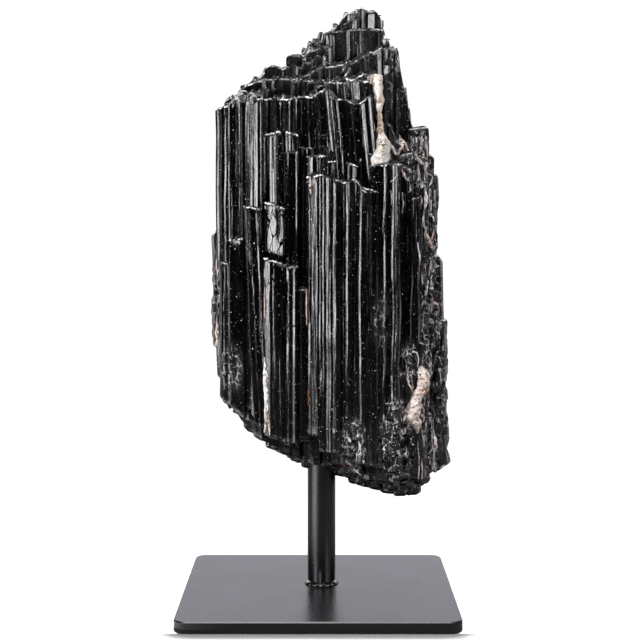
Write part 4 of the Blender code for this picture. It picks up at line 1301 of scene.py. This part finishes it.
# Thin seams of feldspar between the crystals: X, Z and width at points along each, then its
# mineral. All are on the front of the bundle.
seams = {
    "left_seam": (((-22.6, 112, 0.6), (-22.3, 106, 1.6), (-22.0, 98, 2.4), (-22.0, 91, 2.0),
                   (-22.4, 85, 1.2), (-22.9, 77, 0.5)), "white"),
    "left_seam_branch": (((-21.2, 88, 0.4), (-20.9, 84, 0.9), (-20.6, 79, 0.4)), "pink"),
    "left_hairline": (((-22.6, 150, 0.3), (-22.7, 135, 0.45), (-22.3, 119, 0.35)), "pink"),
    "middle_hairline": (((-4.9, 141, 0.4), (-4.8, 134, 0.7), (-4.8, 126, 0.4)), "pink"),
    "column_spot": (((-3.4, 188, 0.4), (-3.2, 184.5, 1.0), (-3.0, 181, 0.4)), "pink"),
    "rust_bead": (((-4.1, 99, 0.4), (-4.0, 96, 0.8), (-4.1, 92, 0.4)), "rust"),
    "foot_rust": (((10.4, 66.5, 0.5), (11.8, 65.2, 1.0), (13.4, 64.2, 0.4)), "rust"),
    "foot_seam": (((13.2, 64.8, 0.4), (16.0, 62.5, 0.8), (19.0, 59.5, 0.4)), "white"),
    "left_edge_patch": (((-44.0, 126, 0.5), (-43.8, 121, 1.5), (-44.0, 115.5, 0.6)), "pink"),
    "left_edge_spot": (((-44.2, 154, 0.4), (-43.9, 150, 1.0), (-43.4, 146, 0.4)), "pink"),
    "shoulder_web": (((41.7, 196.8, 0.5), (44.3, 195.9, 1.0), (45.9, 193.8, 0.7), (46.3, 191.6, 0.5),
                      (46.0, 189.0, 0.5), (46.2, 186.3, 0.4)), "white"),
    "shoulder_ring": (((46.6, 190.3, 0.3), (48.3, 190.5, 0.5), (49.9, 189.0, 0.7),
                       (49.4, 186.4, 0.9), (48.1, 184.6, 0.4)), "white"),
    "shoulder_strand": (((43.4, 194.5, 0.5), (43.5, 189.8, 1.0), (43.2, 184.1, 0.5)), "white"),
    "shoulder_curve": (((44.1, 180.7, 0.4), (44.8, 178.5, 0.7), (44.5, 175.0, 0.4)), "white"),
    "right_seam": (((46.2, 185.5, 0.5), (46.3, 182.5, 0.9), (46.5, 179.5, 1.4), (46.3, 176.3, 1.3),
                    (45.7, 173.7, 0.7), (45.4, 170.2, 0.9), (45.8, 167.6, 1.0), (46.7, 166.0, 0.6)),
                   "white"),
    "right_patch": (((46.3, 166.7, 0.7), (46.4, 164.1, 1.3), (47.4, 161.9, 2.4), (48.9, 160.2, 2.4),
                     (49.6, 158.0, 0.8)), "pink"),
    "right_patch_link": (((50.5, 167.0, 0.4), (50.3, 164.5, 0.9), (49.4, 161.8, 1.2)), "pink"),
    "right_edge_strand": (((51.4, 159.2, 0.5), (51.8, 157.0, 0.9), (51.5, 153.9, 0.4)), "white"),
    "left_strand": (((42.9, 160.6, 0.4), (43.2, 156.7, 0.9), (43.8, 153.6, 0.7), (43.8, 148.3, 0.4)),
                    "white"),
    "fork_right": (((49.1, 152.6, 0.4), (49.0, 149.1, 0.7), (48.3, 146.4, 0.8), (47.6, 143.8, 0.9),
                    (47.1, 141.6, 0.9), (47.4, 138.8, 0.4)), "white"),
    "fork_left": (((46.4, 150.9, 0.4), (46.7, 148.2, 0.7), (47.5, 145.1, 0.5)), "pink"),
    "right_curve": (((48.6, 138.4, 0.3), (49.7, 137.5, 0.7), (50.1, 135.7, 0.7), (49.8, 133.1, 0.6),
                     (49.7, 129.0, 0.3)), "white"),
    "pink_ring": (((50.2, 133.4, 0.6), (51.5, 133.7, 1.4), (52.6, 132.6, 1.4), (53.2, 130.3, 0.7),
                   (53.0, 128.1, 0.3)), "pink"),
    "right_streak": (((51.1, 122.8, 0.3), (51.9, 121.6, 0.7), (52.9, 120.1, 0.4)), "white"),
    "right_speckles": (((50.9, 119.3, 0.4), (51.5, 116.6, 1.2), (51.6, 113.5, 0.4)), "white"),
    "shoulder_edge": (((46.4, 207, 0.3), (47.2, 202, 0.8), (47.4, 197, 0.4)), "pink"),
    "stub_arch": (((39.3, 112.8, 0.5), (41.3, 113.6, 0.6), (42.8, 112.8, 0.7), (43.4, 110.6, 0.6),
                   (43.2, 107.1, 0.4)), "white"),
    "web_left": (((38.9, 107.0, 0.4), (38.7, 103.6, 1.0), (39.0, 99.6, 0.8), (40.6, 96.8, 0.9),
                  (41.9, 93.4, 1.2)), "white"),
    "web_middle": (((40.5, 105.5, 0.3), (40.1, 101.8, 0.8), (41.2, 97.5, 0.9)), "pink"),
    "web_spray": (((38.3, 87.0, 1.0), (37.3, 85.2, 1.2), (36.7, 82.6, 0.5)), "white"),
    "web_spray_inner": (((40.2, 86.2, 0.8), (38.9, 83.6, 1.2), (38.5, 80.4, 0.4)), "white"),
    "web_fold": (((45.2, 90.5, 0.4), (45.9, 87.0, 0.5), (45.6, 82.6, 0.4)), "pink"),
    "tail_line": (((44.5, 81.5, 0.4), (45.4, 77.1, 0.5), (46.2, 72.2, 0.3)), "white"),
    "tail_spot": (((43.2, 74.6, 0.3), (43.5, 70.9, 1.0), (43.7, 67.6, 0.4)), "white"),
    "tail_low": (((43.9, 67.6, 0.4), (44.0, 62.5, 0.6), (43.5, 57.5, 0.4)), "white"),
    "tail_pink": (((45.0, 66.5, 0.3), (45.4, 61.9, 0.7), (45.2, 57.8, 0.4)), "pink"),
    "foot_vein": (((51.2, 89.0, 0.3), (51.3, 83.6, 0.5), (51.1, 77.4, 0.7), (51.2, 73.4, 1.6),
                   (51.3, 70.2, 2.3), (51.6, 65.3, 1.6), (51.7, 61.3, 1.1), (52.1, 57.7, 0.4)),
                  "white"),
    "foot_vein_side": (((49.8, 77.8, 0.3), (50.1, 73.1, 0.6), (50.4, 69.6, 0.3)), "white"),
    "foot_fleck": (((54.3, 60.1, 0.4), (55.4, 60.8, 0.8), (56.4, 61.4, 0.3)), "white"),
    "white_patch": (((31.5, 203, 0.6), (32.6, 201.2, 2.0), (33.8, 198.5, 0.8)), "white"),
    "cream_patch": (((35.4, 207.5, 0.6), (36.6, 204.0, 2.2), (35.5, 201.2, 1.6), (34.6, 198, 0.6)),
                    "pink"),
    "cream_branch": (((36.8, 205, 0.5), (37.9, 202.7, 1.5), (39.2, 199.9, 0.5)), "pink"),
    "edge_patch": (((41.5, 199.7, 0.5), (42.8, 197.5, 2.0), (45.0, 194.1, 0.7)), "white"),
    "yellow_fleck": (((30.6, 186.3, 0.6), (32.2, 187.4, 0.9), (33.8, 189.2, 0.4)), "white"),
    "pink_fleck": (((30.7, 183, 0.4), (31.3, 179.5, 0.8), (31.0, 176.5, 0.4)), "pink"),
    "ledge_fleck": (((35.2, 192.5, 0.5), (36.8, 189.5, 1.1), (38.0, 187, 0.4)), "pink"),
    "flute_fleck": (((36.0, 182, 0.3), (36.4, 177.5, 0.9), (36.1, 173, 0.4)), "white"),
    "wedge_lace": (((22.6, 223.5, 0.3), (24.0, 219.5, 0.6), (24.9, 214.5, 0.3)), "white"),
    "wedge_thread": (((23.3, 220, 0.3), (23.8, 214, 0.5), (24.0, 208, 0.3)), "white"),
    "peak_bit": (((29.2, 252.0, 0.6), (29.8, 250.0, 1.6), (29.6, 248, 0.6)), "white"),
}
seamShape = {
    "seed": 23,
    "step": 0.4,
    "across": 7,               # points across a seam
    "proud": 0.32,
    "sunk": 0.9,
    "dips": (0.3, 0.9),        # depth, and distance along the seam
    "widthShare": 1.02,
    "waver": (0.35, 2.5),      # how much each edge's width wavers, and over what distance
    "fray": 0.07,
    "widthLimits": (0.3, 2.6),
    "grain": 0.05,
    "from": -100,              # rays start at this Y
}


def makeSeams(bundle, minerals):
    # A ribbon along each path, ragged at both edges, laid at the middle depth of the flutes
    # below it: its face bulges by proud * sqrt(1 - s^2), less smooth noise that lets it dip
    # into the crystal and come out again, and its back lies sunk
    mesh = bundle.data
    corners = np.empty(len(mesh.vertices) * 3)
    mesh.vertices.foreach_get("co", corners)
    tree = BVHTree.FromPolygons(corners.reshape(-1, 3).tolist(),
                                [tuple(face.vertices) for face in mesh.polygons])
    draw = np.random.default_rng(seamShape["seed"])
    s = np.linspace(-1, 1, seamShape["across"])
    waver, distance = seamShape["waver"]
    dip, dipDistance = seamShape["dips"]
    for name, (path, mineral) in seams.items():
        path = np.array(path)
        run = np.concatenate(((0,), np.cumsum(np.hypot(*np.diff(path[:, :2], axis=0).T))))
        spots = np.linspace(0, run[-1], max(6, round(run[-1] / seamShape["step"])))
        x, z, width = (np.interp(spots, run, path[:, i]) for i in range(3))
        trend = np.gradient(x), np.gradient(z)
        size = np.hypot(*trend)
        sideX, sideZ = -trend[1] / size, trend[0] / size
        ragged = seamShape["widthShare"] + drift(draw, spots, 2, distance, waver)
        ragged = ragged + seamShape["fray"] * draw.normal(0, 1, (len(spots), 2))
        ragged = np.where(s < 0, ragged[:, :1], ragged[:, 1:])
        half = width[:, None] / 2 * np.clip(ragged, *seamShape["widthLimits"])
        px = x[:, None] + sideX[:, None] * half * s
        pz = z[:, None] + sideZ[:, None] * half * s
        starts = [Vector((a * mm, seamShape["from"] * mm, b * mm))
                  for a, b in zip(px.ravel(), pz.ravel())]
        hits = [tree.ray_cast(start, Vector((0, 1, 0)))[0] for start in starts]
        depth = np.array([hit.y / mm if hit else np.nan for hit in hits]).reshape(px.shape)
        level = np.nanmedian(depth, axis=1)
        level = np.convolve(np.pad(level, 2, mode="edge"), np.ones(5) / 5, mode="valid")
        face = level[:, None] - seamShape["proud"] * np.sqrt(np.clip(1 - s ** 2, 0, 1))
        face = face + np.clip(drift(draw, spots, len(s), dipDistance, dip), -dip, None)
        face = face + draw.normal(0, seamShape["grain"], face.shape)
        front = np.stack((px, face, pz), -1)
        sunk = level[:, None] + seamShape["sunk"] + 0 * s
        back = np.stack((px[:, ::-1], sunk, pz[:, ::-1]), -1)
        rings = np.concatenate((front, back), axis=1)[:, ::-1]
        points, faces = closedGrid(rings, rings[0].mean(axis=0), rings[-1].mean(axis=0))
        item = addSurface(scene.collection, name, points, faces)
        item.data.materials.append(minerals[mineral])
        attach(item, "root")
    print("seams laid:", len(seams))


# Steel stand

powderCoat = {
    "peel": 1.3,                 # orange peel spacing in mm
    "peelDepth": 0.09,
    "clouds": 40.0,              # repeats per metre: drifts of gloss 25 mm across
    "roughness": (0.23, 0.31),
    "black": ("#050506", "#09090a"),
    "ior": 1.5,
}


def powderCoatMaterial():
    # Polyester powder baked on steel: satin black that levels into a fine orange peel, so its
    # reflections are soft and slightly mottled
    material, tree, shader = newMaterial("Satin black powder coat")
    coords = addNode(tree, "ShaderNodeTexCoord").outputs["Object"]
    cloud = addNode(tree, "ShaderNodeTexNoise", {"Scale": powderCoat["clouds"], "Detail": 3.0},
                    {"Vector": coords})
    glossy, satin = powderCoat["roughness"]
    rough = addNode(tree, "ShaderNodeMapRange", {3: glossy, 4: satin}, {0: cloud.outputs["Fac"]})
    tree.links.new(rough.outputs[0], shader.inputs["Roughness"])
    dark, light = powderCoat["black"]
    tone = addNode(tree, "ShaderNodeMix", {"data_type": "RGBA", 6: linear(dark), 7: linear(light)},
                   {0: cloud.outputs["Fac"]})
    tree.links.new(tone.outputs[2], shader.inputs["Base Color"])
    shader.inputs["IOR"].default_value = powderCoat["ior"]
    peel = addNode(tree, "ShaderNodeTexNoise", {"Scale": 1000 / powderCoat["peel"], "Detail": 2.0},
                   {"Vector": coords})
    bump = addNode(tree, "ShaderNodeBump", {"Strength": 1.0, "Distance": powderCoat["peelDepth"] * mm},
                   {"Height": peel.outputs["Fac"]})
    tree.links.new(bump.outputs[0], shader.inputs["Normal"])
    return material


def makePost(coat):
    # Round bar with its weld. The radius is the bar's, plus a bead w (1 - (h / H)^1.5) whose
    # width w swells in waves around the post, plus one run of paint, round at its top.
    foot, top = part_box("post")[0][2] / mm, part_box("post")[1][2] / mm
    bead = np.linspace(0, post["beadHeight"], post["beadLevels"])
    close = np.arange(post["beadHeight"] + post["step"], post["stepsTo"], post["step"])
    far = (post["plainFrom"], top - foot - post["chamfer"], top - foot)
    heights = np.concatenate((bead, close, far))[:, None]
    angle = math.tau * np.arange(post["around"]) / post["around"]
    wave = 1 + sum(size * np.sin(count * angle + turn) for count, size, turn in post["waves"])
    rise = np.clip(heights / post["beadHeight"], 0, 1)
    bulge = post["beadWidth"] * wave * (1 - rise ** 1.5)
    drip = post["drip"]
    off = (angle - math.radians(270 + drip["turn"])) * post["radius"] / drip["width"]
    end = np.clip((drip["top"] - foot - heights) / drip["end"], 0, 1) ** 0.5
    run = drip["thick"] * np.exp(-off ** 2) * end
    radius = post["radius"] + bulge + run
    radius[-1] -= post["chamfer"]
    x = post["x"] + radius * np.cos(angle)
    y = post["y"] + radius * np.sin(angle)
    rings = np.stack((x, y, foot + heights + 0 * angle), -1)
    middle = np.array((post["x"], post["y"], 0))
    points, faces = closedGrid(rings, middle + (0, 0, foot), middle + (0, 0, top))
    bar = addSurface(scene.collection, "welded_post", points, faces)
    bar.data.shade_smooth()
    bar.data.set_sharp_from_angle(angle=math.radians(post["smoothBelow"]))
    bar.data.materials.append(coat)
    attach(bar, "root")
    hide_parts("post")
    print("post turned")


def finishStand():
    coat = powderCoatMaterial()
    for place in frame["nodes"]["base_plate"].material_slots:
        place.material = coat
    makePost(coat)
    print("stand coated")


makeCamera()
makeLights()
makeFloor()
makeBackdrop()
print("studio ready")
bundle = makeTourmaline()
minerals = {kind: feldsparMaterial(*tone) for kind, tone in feldspars.items()}
makeFeldspar("feldspar_wedge", feldsparUpper, "feldspar_upper", minerals["cream"])
makeFeldspar("feldspar_knot", feldsparLower, "feldspar_lower", minerals["sugary"])
makeSeams(bundle, minerals)
finishStand()
